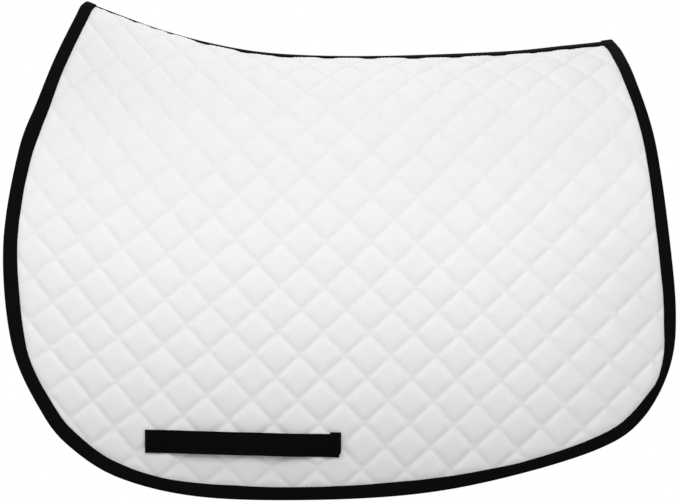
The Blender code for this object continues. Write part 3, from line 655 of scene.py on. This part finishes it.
def lining_height(quilt, side):
    """Height of the lining's face over the skin, below 0 on the horse's side."""
    full, _ = pillow(quilt)
    x, s = quilt.flat.T
    along, down = LINING_FOLD_LENGTHS
    folds = LINING_FOLDS * noise(x / along, s / down, seed_for(13, side))
    folds += PUCKER * puckers(quilt, seed_for(53, side))
    open_part = opening_up(quilt)
    seam = LINING_AT_EDGE + (LINING_SEAM - LINING_AT_EDGE) * ease(quilt.edge / (2 * BINDING_WIDTH))
    return seam - (LINING_PUFF * full + folds * full) * open_part


def keeper_line(x):
    """The height of the keeper's middle at each x."""
    (x0, z0), (x1, z1) = KEEPER_FRONT, KEEPER_REAR
    return z0 + (x - x0) / (x1 - x0) * (z1 - z0)


KEEPER_X = np.linspace(KEEPER_FRONT[0] - 0.03, KEEPER_REAR[0] + 0.03, 60)
KEEPER_S = SKIN.down_cloth(KEEPER_X, keeper_line(KEEPER_X))


def keeper_s(x):
    """How far down the cloth the keeper's middle lies at each x."""
    return np.interp(x, KEEPER_X, KEEPER_S)


def keeper_bottom(x):
    """Height of the keeper's underside over the skin: low at its sewn ends, raised in its loop."""
    front, rear = KEEPER_FRONT[0] + KEEPER_SEWN, KEEPER_REAR[0] - KEEPER_SEWN
    from_end = np.minimum(x - front, rear - x)
    share = np.clip((x - front) / (rear - front), 0, 1)
    slack = KEEPER_SLACK * np.sin(math.pi * share) ** 2
    rise = ease(from_end / (KEEPER_RISE_SHARE * (rear - front)))
    return KEEPER_SEAT + (PUFF + KEEPER_LOOP - slack) * rise


def keeper_press(flat):
    """The greatest height of the cloth under the keeper, which its sewn ends press down."""
    x, s = flat.T
    beside = np.abs(s - keeper_s(x)) - KEEPER_WIDTH / 2 - KEEPER_MARGIN
    past = np.maximum(KEEPER_FRONT[0] - x, x - KEEPER_REAR[0] - KEEPER_TAB_PAST) - KEEPER_MARGIN
    off = np.hypot(np.clip(beside, 0, None), np.clip(past, 0, None))
    return keeper_bottom(x) - PRESS_GAP + PRESS_DEPTH * rounded(off / PRESS_REACH)


def mirrored(points, side):
    """The points on the right side, or their mirror image on the left."""
    return points * (1, side, 1)


def placed(name, data):
    """A new object in the scene."""
    thing = bpy.data.objects.new(name, data)
    bpy.context.scene.collection.objects.link(thing)
    return thing


def mesh_piece(name, points, faces, material, cloth=None, smooth_to=50):
    """A mesh object. Where the points lie on the cloth becomes its UV map, in metres."""
    mesh = bpy.data.meshes.new(name)
    mesh.from_pydata(points.tolist(), [], faces)
    if cloth is not None:
        corner = np.empty(len(mesh.loops), np.int32)
        mesh.loops.foreach_get("vertex_index", corner)
        layer = mesh.uv_layers.new(name="cloth")
        layer.data.foreach_set("uv", cloth[corner].astype(np.float32).ravel())
    mesh.materials.append(material)
    mesh.shade_smooth()
    mesh.set_sharp_from_angle(angle=math.radians(smooth_to))
    mesh.validate()
    return placed(name, mesh)


def quilted_layer(name, quilt, face_height, back_height, side, outwards, material):
    """A closed layer: its quilted face, a plainer back that the other layer hides, and a rim."""
    face = SKIN.lifted(quilt.flat, face_height)
    inner, back_faces = quilt.backing()
    back_index = np.concatenate([quilt.ring, inner]).astype(int)
    back = SKIN.lifted(quilt.flat[back_index], back_height[back_index])
    count = len(face)
    faces = list(quilt.faces)
    for corners in back_faces:
        faces.append([count + v for v in reversed(corners)])
    ring = quilt.ring
    for k in range(len(ring)):
        j = (k + 1) % len(ring)
        faces.append([ring[j], ring[k], count + k, count + j])
    if (side < 0) == outwards:
        faces = [corners[::-1] for corners in faces]
    points = mirrored(np.vstack([face, back]), side)
    return mesh_piece(name, points, faces, material, np.vstack([quilt.flat, quilt.flat[back_index]]))


def swept(strips):
    """Points and faces of a closed solid between strips that run along it, with its two ends."""
    rings = np.stack(strips, axis=1)
    count, size = rings.shape[:2]
    faces = []
    for near in range(0, (count - 1) * size, size):
        far = near + size
        for v in range(size):
            w = (v + 1) % size
            faces.append([near + v, far + v, far + w, near + w])
    faces.append(list(range(size)))
    faces.append([(count - 1) * size + v for v in reversed(range(size))])
    return rings.reshape(-1, 3), faces


def tidy_normals(thing):
    """Turns the faces of a closed mesh outwards."""
    work = bmesh.new()
    work.from_mesh(thing.data)
    bmesh.ops.recalc_face_normals(work, faces=work.faces)
    work.to_mesh(thing.data)
    work.free()
    thing.data.update()


def edge_inwards():
    """The way inwards from each point of the outer edge, turned level beside the spine."""
    run = unit(np.gradient(EDGE, axis=0))
    inwards = np.column_stack([run[:, 1], -run[:, 0]])
    half = len(EDGE) // 2
    if inwards[half, 1] > 0:
        inwards = -inwards
    turn = 1 - ease(EDGE[:, 1] / (1.6 * BINDING_WIDTH))[:, None]
    across = np.column_stack([np.where(np.arange(len(EDGE)) < half, 1, -1), 0 * turn])
    return unit(inwards * (1 - turn) + across * turn)


INWARDS = edge_inwards()


def binding_legs(side):
    """Round the outer edge: the binding's width, and the heights of its outer and its inner leg."""
    sway = noise(EDGE_LENGTH / BINDING_SWAY_LENGTH, 0 * EDGE_LENGTH, seed_for(53, side))
    over_webbing = 1 - ease((EDGE[:, 1] - SPINE_TAPE_WIDTH / 2) / WEBBING_STEP)
    top = CLOTH_EDGE + BINDING_TAPE + (SPINE_TAPE_SEAT + SPINE_TAPE - WEBBING_SUNK) * over_webbing
    low = LINING_AT_EDGE - BINDING_TAPE - SPINE_LINING_TAPE * over_webbing
    return TAPE_WIDTH + BINDING_SWAY * sway, top, low


def edge_binding(side):
    """The tape folded over the raw edge: its outer leg, its round nose and its leg on the horse's side."""
    width, top, low = binding_legs(side)
    along = EDGE_LENGTH / BINDING_PUCKER_LENGTH
    pucker = BINDING_PUCKER * noise(along, 0 * along, seed_for(55, side))
    middle, half = (top + low) / 2, (top - low) / 2
    rows = []
    for reach, drop in (
        (1.0, BINDING_TAPE + 0.0002), (0.995, 0.0005), (0.975, 0.00012), (0.94, 0.00002),
        (0.89, 0.00006), (0.865, 0.00026), (0.84, 0.00006), (0.76, 0), (0.66, 0), (0.56, 0),
        (0.46, 0), (0.36, 0),
    ):
        rows.append((reach * width, top - drop + pucker * math.sin(math.pi * reach)))
    for turn in np.linspace(90, -90, 11):
        turn = math.radians(turn)
        rows.append((BINDING_NOSE * (1 - math.cos(turn)), middle + half * math.sin(turn)))
    for reach, drop in (
        (0.36, 0), (0.5, 0), (0.64, 0), (0.78, 0), (0.85, 0.00006), (0.87, 0.0002), (0.89, 0.00006),
        (0.94, 0), (0.985, 0.0002), (1.0, BINDING_TAPE + 0.0004), (0.97, BINDING_TAPE + 0.0006),
        (0.28, BINDING_TAPE + 0.0006),
    ):
        rows.append((reach * width, low + drop))
    rows.append((RAW_EDGE, top - BINDING_TAPE - 0.0002))
    strips = []
    for inset, height in rows:
        flat = EDGE + INWARDS * (inset + 0 * width)[:, None]
        points = SKIN.lifted(flat, height)
        points[:, 1] = np.maximum(points[:, 1], 0)
        strips.append(points)
    points, faces = swept(strips)
    across = np.array([np.max(inset) for inset, _ in rows])
    cloth = np.column_stack([
        np.repeat(EDGE_LENGTH, len(rows)),
        np.tile(np.cumsum(np.abs(np.diff(across, prepend=across[0])) + 0.0004), len(EDGE)),
    ])
    name = f"{SIDE_NAMES[side]}_edge_binding"
    return mesh_piece(name, mirrored(points, side), faces, TWILL, cloth)


def spine_band(name, outwards, height, thickness, seed):
    """A band of webbing lying over or under the spine, rounded where it bends across the ridge."""
    front, rear = OUTLINE[0][0] + SPINE_TAPE_IN, OUTLINE[-1][0] - SPINE_TAPE_IN
    x = resampled(np.array([[front, 0.0], [rear, 0.0]]), 0.004)[:, 0]
    half_width = SPINE_TAPE_WIDTH / 2
    edge_drop = SELVEDGE_DROP * thickness
    drops = {1: edge_drop, 0.97: 0.1 * edge_drop, SPINE_ROW: ROW_GROOVE}
    half = (0.08, 0.2, 0.4, 0.6, 0.8, SPINE_ROW, 0.9, 0.97, 1)
    shares = (*(-share for share in reversed(half)), 0, *half)
    section = [(share, thickness - drops.get(abs(share), 0)) for share in shares]
    section += [(share, 0) for share in (1, 0.6, 0.2, -0.2, -0.6, -1)]
    strips = []
    for share, lift in section:
        sway = SPINE_TAPE_SWAY * noise(x / SPINE_TAPE_SWAY_LENGTH, 0 * x + share, seed)
        reach, thinner = spine_tape_reach(x, share if outwards else 1)
        across = share * reach + sway * abs(share) * reach / half_width
        soft = np.sqrt(across**2 + SPINE_ROUNDING**2)
        place, normal = SKIN.frame(np.column_stack([x, soft]))
        lean = across / soft
        normal = unit(normal * np.column_stack([0 * x + 1, lean, 0 * x + 1]))
        place[:, 1] *= lean
        rise = height + lift * thinner if outwards else height - lift + 0 * x
        strips.append(place + normal * rise[:, None])
    points, faces = swept(strips)
    cloth = np.column_stack([
        np.repeat(x, len(section)),
        np.tile([share * half_width for share, _ in section], len(x)),
    ])
    piece = mesh_piece(name, points, faces, TWILL, cloth)
    tidy_normals(piece)
    return piece


# (share of the half width, share of the thickness) round a webbing with ribbed selvedges
WEBBING_SECTION = (
    (-1, 0.6), (-0.975, 0.93), (-0.93, 1), (-0.8, 1), (-0.755, 0.88), (-0.71, 1), (-0.35, 1),
    (0, 1), (0.35, 1), (0.71, 1), (0.755, 0.88), (0.8, 1), (0.93, 1), (0.975, 0.93), (1, 0.6),
    (1, 0.25), (0.97, 0), (0.5, 0), (0, 0), (-0.5, 0), (-0.97, 0), (-1, 0.25),
)


def webbing_run(name, side, x, bottoms, tops, raised=0, round_end=0):
    """A piece of webbing that lies along the keeper's line with these heights under and over it."""
    s = keeper_s(x) - raised
    sway = KEEPER_SWAY * noise(x / KEEPER_SWAY_LENGTH, 0 * x, 77 + side)
    corner = 0 * x
    if round_end:
        to_end = np.clip(1 - (x[-1] - x) / round_end, 0, 1)
        corner = 0.8 * round_end * (1 - np.sqrt(1 - to_end**2))
    strips = []
    for share, up in WEBBING_SECTION:
        across = share * (KEEPER_WIDTH / 2 - corner * (share > 0.5)) + sway
        flat = np.column_stack([x, s + across])
        strips.append(SKIN.lifted(flat, bottoms + (tops - bottoms) * up))
    points, faces = swept(strips)
    cloth = np.column_stack([
        np.repeat(lengths_along(np.column_stack([x, bottoms])), len(WEBBING_SECTION)),
        np.tile([share * KEEPER_WIDTH / 2 for share, _ in WEBBING_SECTION], len(x)),
    ])
    piece = mesh_piece(name, mirrored(points, side), faces, WEBBING, cloth, smooth_to=40)
    tidy_normals(piece)
    return piece


def drawn_in(tops, x, rows, spread):
    """The webbing's upper side, drawn in along the rows of stitches across it."""
    return tops - KEEPER_ROW_DEPTH * sum(np.exp(-(((x - row) / spread) ** 2)) for row in rows)


def girth_keeper(side):
    """The webbing loop: its ends are sewn down, the front one doubled under."""
    front, rear = KEEPER_FRONT[0], KEEPER_REAR[0]
    folds = (front + KEEPER_SEWN, rear - KEEPER_SEWN)
    x = np.unique(np.round(np.concatenate([
        front + np.array((0, 0.0003, 0.0008, KEEPER_END_ROUND)),
        np.linspace(front + 0.003, folds[0] - 0.002, 7),
        folds[0] + np.array((-0.0012, -0.0004, 0.0002, 0.0008)),
        np.linspace(folds[0] + 0.002, folds[1] - 0.002, 60),
        folds[1] + np.array((-0.0008, 0, 0.0008)),
        np.linspace(folds[1] + 0.002, rear, 8),
    ]), 6))
    bottoms = keeper_bottom(x)
    front_end = 1 - ease((x - folds[0] + 0.0004) / 0.0012)
    rear_end = ease((x - folds[1] - 0.0004) / 0.0012)
    thick = KEEPER_WEBBING * (1 + (KEEPER_DOUBLED - 1) * (front_end + rear_end))
    round_front = rounded((x - front) / KEEPER_END_ROUND)
    tops = bottoms + thick * (0.5 + 0.5 * round_front)
    bottoms = bottoms + thick * 0.5 * (1 - round_front) * front_end
    rows = (front + KEEPER_ROWS[0], folds[0] - KEEPER_ROWS[1])
    tops = drawn_in(tops, x, rows, KEEPER_ROW_SPREAD)
    return webbing_run(f"{SIDE_NAMES[side]}_keeper_webbing", side, x, bottoms, tops)


def keeper_tab(side):
    """The short piece sewn over the keeper's rear end."""
    rear = KEEPER_REAR[0] + KEEPER_TAB_PAST
    x = np.linspace(rear - KEEPER_TAB_LENGTH, rear, 15)
    under = KEEPER_SEAT + KEEPER_DOUBLED * KEEPER_WEBBING + 0.0001
    bottoms = under - 0.0017 * ease((x - KEEPER_REAR[0] - 0.0004) / 0.0016)
    ends = rounded(np.minimum(x - x[0], x[-1] - x) / 0.0012)
    tops = bottoms + KEEPER_WEBBING * (0.45 + 0.55 * ends)
    rows = (x[0] + KEEPER_TAB_ROWS[0], KEEPER_REAR[0] - KEEPER_TAB_ROWS[1])
    tops = drawn_in(tops, x, rows, KEEPER_TAB_ROW_SPREAD)
    name = f"{SIDE_NAMES[side]}_keeper_end_tab"
    return webbing_run(name, side, x, bottoms, tops, KEEPER_TAB_RISE, KEEPER_TAB_ROUND)


def along_path(places, normals, pitch=THREAD_PITCH):
    """Starts, ends and normals of stitches of this pitch along a path."""
    lengths = lengths_along(places)
    count = max(1, int(lengths[-1] / pitch))
    begin = np.arange(count) * lengths[-1] / count
    finish = begin + STITCH_SHARE * lengths[-1] / count
    middle = (begin + finish) / 2
    places = [read_along(at, lengths, places) for at in (begin, finish)]
    return *places, read_along(middle, lengths, normals)


def stitches(name, rows, side, material, thickness=BLACK_THREAD_WIDTH, sink=0.5):
    """Rows of stitches, each a small bar with rounded ends, on the right or mirrored to the left."""
    starts, ends, normals = (mirrored(np.vstack(parts), side) for parts in zip(*rows))
    run = unit(ends - starts)
    length = np.linalg.norm(ends - starts, axis=1)[:, None]
    normal = unit(normals - (normals * run).sum(axis=1)[:, None] * run)
    beside = np.cross(run, normal)
    half = thickness / 2
    rings = []
    for share, wide in STITCH_SHAPE:
        dip = half * (1 - wide) * STITCH_DIP
        middle = starts + run * length * share + normal * (half * (1 - sink) - dip)
        for turn in (0, 90, 180, 270):
            angle = math.radians(turn)
            rings.append(middle + half * wide * (math.cos(angle) * beside + math.sin(angle) * normal))
    points = np.stack(rings, axis=1).reshape(-1, 3)
    faces = []
    for base in range(0, len(points), len(rings)):
        for near in (base, base + 4, base + 8):
            for v in range(4):
                w = (v + 1) % 4
                faces.append([near + v, near + 4 + v, near + 4 + w, near + w])
        faces.append([base + v for v in (0, 1, 2, 3)])
        faces.append([base + v for v in (15, 14, 13, 12)])
    return mesh_piece(name, points, faces, material, smooth_to=70)


def binding_thread(side):
    """The row of stitches along the binding, on its outer leg and on the horse's side."""
    width, top, low = binding_legs(side)
    found = []
    for turn, height in ((1, top - THREAD_SUNK), (-1, low + THREAD_SUNK)):
        place, normal = SKIN.frame(EDGE + INWARDS * (BINDING_ROW * width)[:, None])
        place = place + normal * height[:, None]
        kept = place[:, 1] > 0.001
        found.append(along_path(place[kept], turn * normal[kept]))
    return stitches(f"{SIDE_NAMES[side]}_binding_thread", found, side, BLACK_THREAD)


def quilting_thread(side, quilt, height):
    """The thread along every quilting line, sunk in the seam, by diamond side."""
    low = np.floor(quilt.lattice.min(axis=0)).astype(int)
    high = np.ceil(quilt.lattice.max(axis=0)).astype(int)
    clear = tape_clearance(quilt, side) > THREAD_CLEARANCE
    found = []
    for way, other in ((0, 1), (1, 0)):
        for line in range(low[way], high[way] + 1):
            picked = np.flatnonzero(np.abs(quilt.lattice[:, way] - line) < 1e-6)
            picked = picked[np.argsort(quilt.lattice[picked, other])]
            gaps = np.diff(quilt.lattice[picked, other]) > 0.3
            for part in np.split(picked, np.flatnonzero(gaps) + 1):
                part = part[clear[part]]
                if len(part) < 4:
                    continue
                place, normal = SKIN.frame(quilt.flat[part])
                found.append(along_path(place + normal * height[part][:, None], normal))
    name = f"{SIDE_NAMES[side]}_quilting_thread"
    return stitches(name, found, side, WHITE_THREAD, WHITE_THREAD_WIDTH, WHITE_THREAD_SINK)


def spine_thread():
    """Two rows of stitches along the spine tape, one near each of its edges."""
    along = np.linspace(OUTLINE[0][0] + SPINE_ROW_IN, OUTLINE[-1][0] - SPINE_ROW_IN, 180)
    found = []
    for side in (-1, 1):
        reach, thinner = spine_tape_reach(along, side)
        wide = reach > SPINE_ROW_LEAST * SPINE_TAPE_WIDTH / 2
        place, normal = SKIN.frame(np.column_stack([along, SPINE_ROW * reach])[wide])
        place = place + normal * (SPINE_TAPE_SEAT + SPINE_TAPE * thinner - 0.0001)[wide, None]
        found.append(along_path(mirrored(place, side), mirrored(normal, side)))
    return stitches("spine_thread", found, 1, BLACK_THREAD)


def keeper_thread(side):
    """The box of stitches at each sewn end of the keeper."""
    front, rear = KEEPER_FRONT[0], KEEPER_REAR[0]
    tab = rear + KEEPER_TAB_PAST - KEEPER_TAB_LENGTH
    half = KEEPER_WIDTH / 2 - 0.003
    double = KEEPER_SEAT + KEEPER_DOUBLED * KEEPER_WEBBING
    boxes = (
        (front + KEEPER_ROWS[0], front + KEEPER_SEWN - KEEPER_ROWS[1], double),
        (tab + KEEPER_TAB_ROWS[0], rear - KEEPER_TAB_ROWS[1], double + KEEPER_WEBBING),
    )
    t = np.linspace(0, 1, 12)
    found = []
    for x0, x1, height in boxes:
        corners = [(x0, -half), (x1, -half), (x1, half), (x0, half), (x0, -half)]
        for (xa, sa), (xb, sb) in zip(corners, corners[1:]):
            x = xa + (xb - xa) * t
            flat = np.column_stack([x, keeper_s(x) + sa + (sb - sa) * t])
            place, normal = SKIN.frame(flat)
            found.append(along_path(place + normal * (height - 0.0001), normal, KEEPER_PITCH))
    return stitches(f"{SIDE_NAMES[side]}_keeper_thread", found, side, BLACK_THREAD)


def added(tree, kind, **values):
    """A new node in the tree, with these settings."""
    node = tree.nodes.new(kind)
    for key, value in values.items():
        setattr(node, key, value)
    return node


def set_inputs(node, **values):
    """Sets inputs of a node. An underscore stands for a space in their names."""
    for name, value in values.items():
        node.inputs[name.replace("_", " ")].default_value = value


def math_node(tree, operation, *values):
    """A sum, product, sine or the greater one of values or of other nodes' outputs."""
    node = added(tree, "ShaderNodeMath", operation=operation)
    for socket, value in zip(node.inputs, values):
        if isinstance(value, bpy.types.NodeSocket):
            tree.links.new(value, socket)
        else:
            socket.default_value = value
    return node.outputs[0]


def ridges(tree, u, v, along_u, along_v):
    """0 to 1 across ridges that repeat every along_u and along_v metres, None where level."""
    steps = [(coordinate, step) for coordinate, step in ((u, along_u), (v, along_v)) if step]
    terms = [math_node(tree, "MULTIPLY", coordinate, 2 * math.pi / step) for coordinate, step in steps]
    total = terms[0] if len(terms) == 1 else math_node(tree, "ADD", *terms)
    wave = math_node(tree, "SINE", total)
    return math_node(tree, "MULTIPLY_ADD", wave, 0.5, 0.5)


def cloth_material(name, colour, roughness, specular, waves=(), depth=0, blotch=0):
    """Woven cloth: its colour with faint blotches, and its weave as fine ridges."""
    material = bpy.data.materials.new(name)
    material.use_nodes = True
    tree = material.node_tree
    shader = tree.nodes["Principled BSDF"]
    set_inputs(shader, Base_Color=(*colour, 1), Roughness=roughness, Specular_IOR_Level=specular)
    if not waves:
        return material
    place = added(tree, "ShaderNodeUVMap", uv_map="cloth")
    parts = added(tree, "ShaderNodeSeparateXYZ")
    tree.links.new(place.outputs[0], parts.inputs[0])
    u, v = parts.outputs[0], parts.outputs[1]
    height = None
    for along_u, along_v, share in waves:
        wave = math_node(tree, "MULTIPLY", ridges(tree, u, v, along_u, along_v), share)
        height = wave if height is None else math_node(tree, "ADD", height, wave)
    bump = added(tree, "ShaderNodeBump")
    set_inputs(bump, Strength=1, Distance=depth)
    tree.links.new(height, bump.inputs["Height"])
    tree.links.new(bump.outputs[0], shader.inputs["Normal"])
    clouds = added(tree, "ShaderNodeTexNoise")
    set_inputs(clouds, Scale=BLOTCH_SCALE, Detail=4)
    tree.links.new(place.outputs[0], clouds.inputs["Vector"])
    tone = added(tree, "ShaderNodeMapRange")
    set_inputs(tone, From_Min=0.3, From_Max=0.7, To_Min=1 - blotch, To_Max=1 + blotch)
    tree.links.new(clouds.outputs["Fac"], tone.inputs["Value"])
    tint = added(tree, "ShaderNodeVectorMath", operation="SCALE")
    tint.inputs[0].default_value = colour
    tree.links.new(tone.outputs["Result"], tint.inputs["Scale"])
    tree.links.new(tint.outputs[0], shader.inputs["Base Color"])
    return material


COTTON = cloth_material("quilted_cotton", COTTON_COLOUR, 0.92, 0.12, COTTON_WEAVE, 0.00003, 0.012)
LINING = cloth_material("cotton_lining", LINING_COLOUR, 0.92, 0.12, LINING_WEAVE, 0.00003, 0.015)
TWILL = cloth_material("binding_twill", BLACK_TWILL, 0.85, 0.035, TWILL_WEAVE, 0.00007, 0.12)
WEBBING = cloth_material("black_webbing_weave", BLACK_WEBBING, 0.8, 0.03, WEBBING_WEAVE, 0.00012, 0.12)
BLACK_THREAD = cloth_material("black_thread", BLACK_THREAD_COLOUR, 0.7, 0.04)
WHITE_THREAD = cloth_material("white_thread", COTTON_COLOUR, 0.7, 0.2)


def dress(thing, flap, material_slot, *nodes):
    """The piece stands for these solids, which are hidden, and its place is baked into its points."""
    if nodes:
        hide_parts(*nodes)
    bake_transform(thing)


cover_quilt = Quilt(COVER_SHARES)
lining_quilt = Quilt(LINING_SHARES)
for side, hand in SIDE_NAMES.items():
    flap = f"{hand}_flap"
    face = cover_height(cover_quilt, side)
    under = np.minimum(COVER_BACK, face - CLOTH_LEAST)
    cover = quilted_layer(f"{hand}_quilted_cover", cover_quilt, face, under, side, True, COTTON)
    dress(cover, flap, "quilted_cotton", f"{hand}_back_cover", f"{hand}_flap_cover",
          f"{hand}_back_foam", f"{hand}_flap_foam")
    inside = lining_height(lining_quilt, side)
    over = np.full(len(inside), LINING_TOP)
    lining = quilted_layer(f"{hand}_quilted_lining", lining_quilt, inside, over, side, False, LINING)
    dress(lining, flap, "lining", f"{hand}_back_lining", f"{hand}_flap_lining")
    binding = edge_binding(side)
    dress(binding, flap, "binding_tape", f"{hand}_flap_binding", "front_arch_binding", "rear_arch_binding")
    dress(binding_thread(side), flap, "binding_tape")
    dress(quilting_thread(side, cover_quilt, face), flap, "quilted_cotton")
    keeper = girth_keeper(side)
    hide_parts(f"{hand}_girth_keeper")
    tab = keeper_tab(side)
    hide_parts(f"{hand}_keeper_tab")
    for thing in (keeper, tab, keeper_thread(side)):
        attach(thing, flap)

webbing = spine_band("spine_webbing", True, SPINE_TAPE_SEAT, SPINE_TAPE, 61)
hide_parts("spine_tape")
band = spine_band("spine_lining_band", False, LINING_AT_EDGE, SPINE_LINING_TAPE, 62)
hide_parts("spine_lining_tape")
rows = spine_thread()
for thing in (webbing, band, rows):
    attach(thing, "back")


def plain_world():
    """White where the camera looks past the pad, and a softer light from all round on it."""
    world = bpy.data.worlds.new("studio")
    bpy.context.scene.world = world
    world.use_nodes = True
    tree = world.node_tree
    seen = tree.nodes["Background"]
    set_inputs(seen, Color=(1, 1, 1, 1), Strength=1)
    soft = added(tree, "ShaderNodeBackground")
    set_inputs(soft, Color=(1, 1, 1, 1), Strength=AMBIENT)
    ray = added(tree, "ShaderNodeLightPath")
    direct = math_node(tree, "MAXIMUM", ray.outputs["Is Camera Ray"], ray.outputs["Is Glossy Ray"])
    direct = math_node(tree, "MAXIMUM", direct, ray.outputs["Is Transmission Ray"])
    mix = added(tree, "ShaderNodeMixShader")
    tree.links.new(direct, mix.inputs[0])
    tree.links.new(soft.outputs[0], mix.inputs[1])
    tree.links.new(seen.outputs[0], mix.inputs[2])
    tree.links.new(mix.outputs[0], tree.nodes["World Output"].inputs["Surface"])


def softbox(name, place, towards, size, power):
    """A soft light, wide along X, that looks towards a point."""
    light = bpy.data.lights.new(name, "AREA")
    light.shape = "RECTANGLE"
    light.size, light.size_y = size
    light.energy = power
    thing = placed(name, light)
    thing.location = place
    aim = Vector(towards) - Vector(place)
    thing.rotation_euler = aim.to_track_quat("-Z", "Y").to_euler()


plain_world()
softbox("key_light", KEY_PLACE, KEY_AIM, KEY_SIZE, KEY_POWER)
softbox("top_light", TOP_PLACE, TOP_AIM, TOP_SIZE, TOP_POWER)

floor_mesh = bpy.data.meshes.new("studio_floor")
floor_mesh.from_pydata(
    [(x * FLOOR_HALF, y * FLOOR_HALF, FLOOR_Z) for x, y in ((-1, -1), (1, -1), (1, 1), (-1, 1))],
    [], [(0, 1, 2, 3)],
)
floor_mesh.materials.append(cloth_material("studio_floor", FLOOR_COLOUR, 0.9, 0.1))
floor = placed("studio_floor", floor_mesh)

camera = bpy.data.cameras.new("photo_camera")
camera.sensor_width = SENSOR
camera.lens = SENSOR * CAMERA_DISTANCE / (PHOTO_WIDTH * PIXEL)
camera.clip_end = CAMERA_FAR
viewer = placed("photo_camera", camera)
viewer.location = (VIEW_MIDDLE[0], VIEW_DEPTH_Y - CAMERA_DISTANCE, VIEW_MIDDLE[1])
viewer.rotation_euler = (math.pi / 2, 0, 0)
bpy.context.scene.camera = viewer
bpy.context.scene.view_settings.view_transform = "Standard"
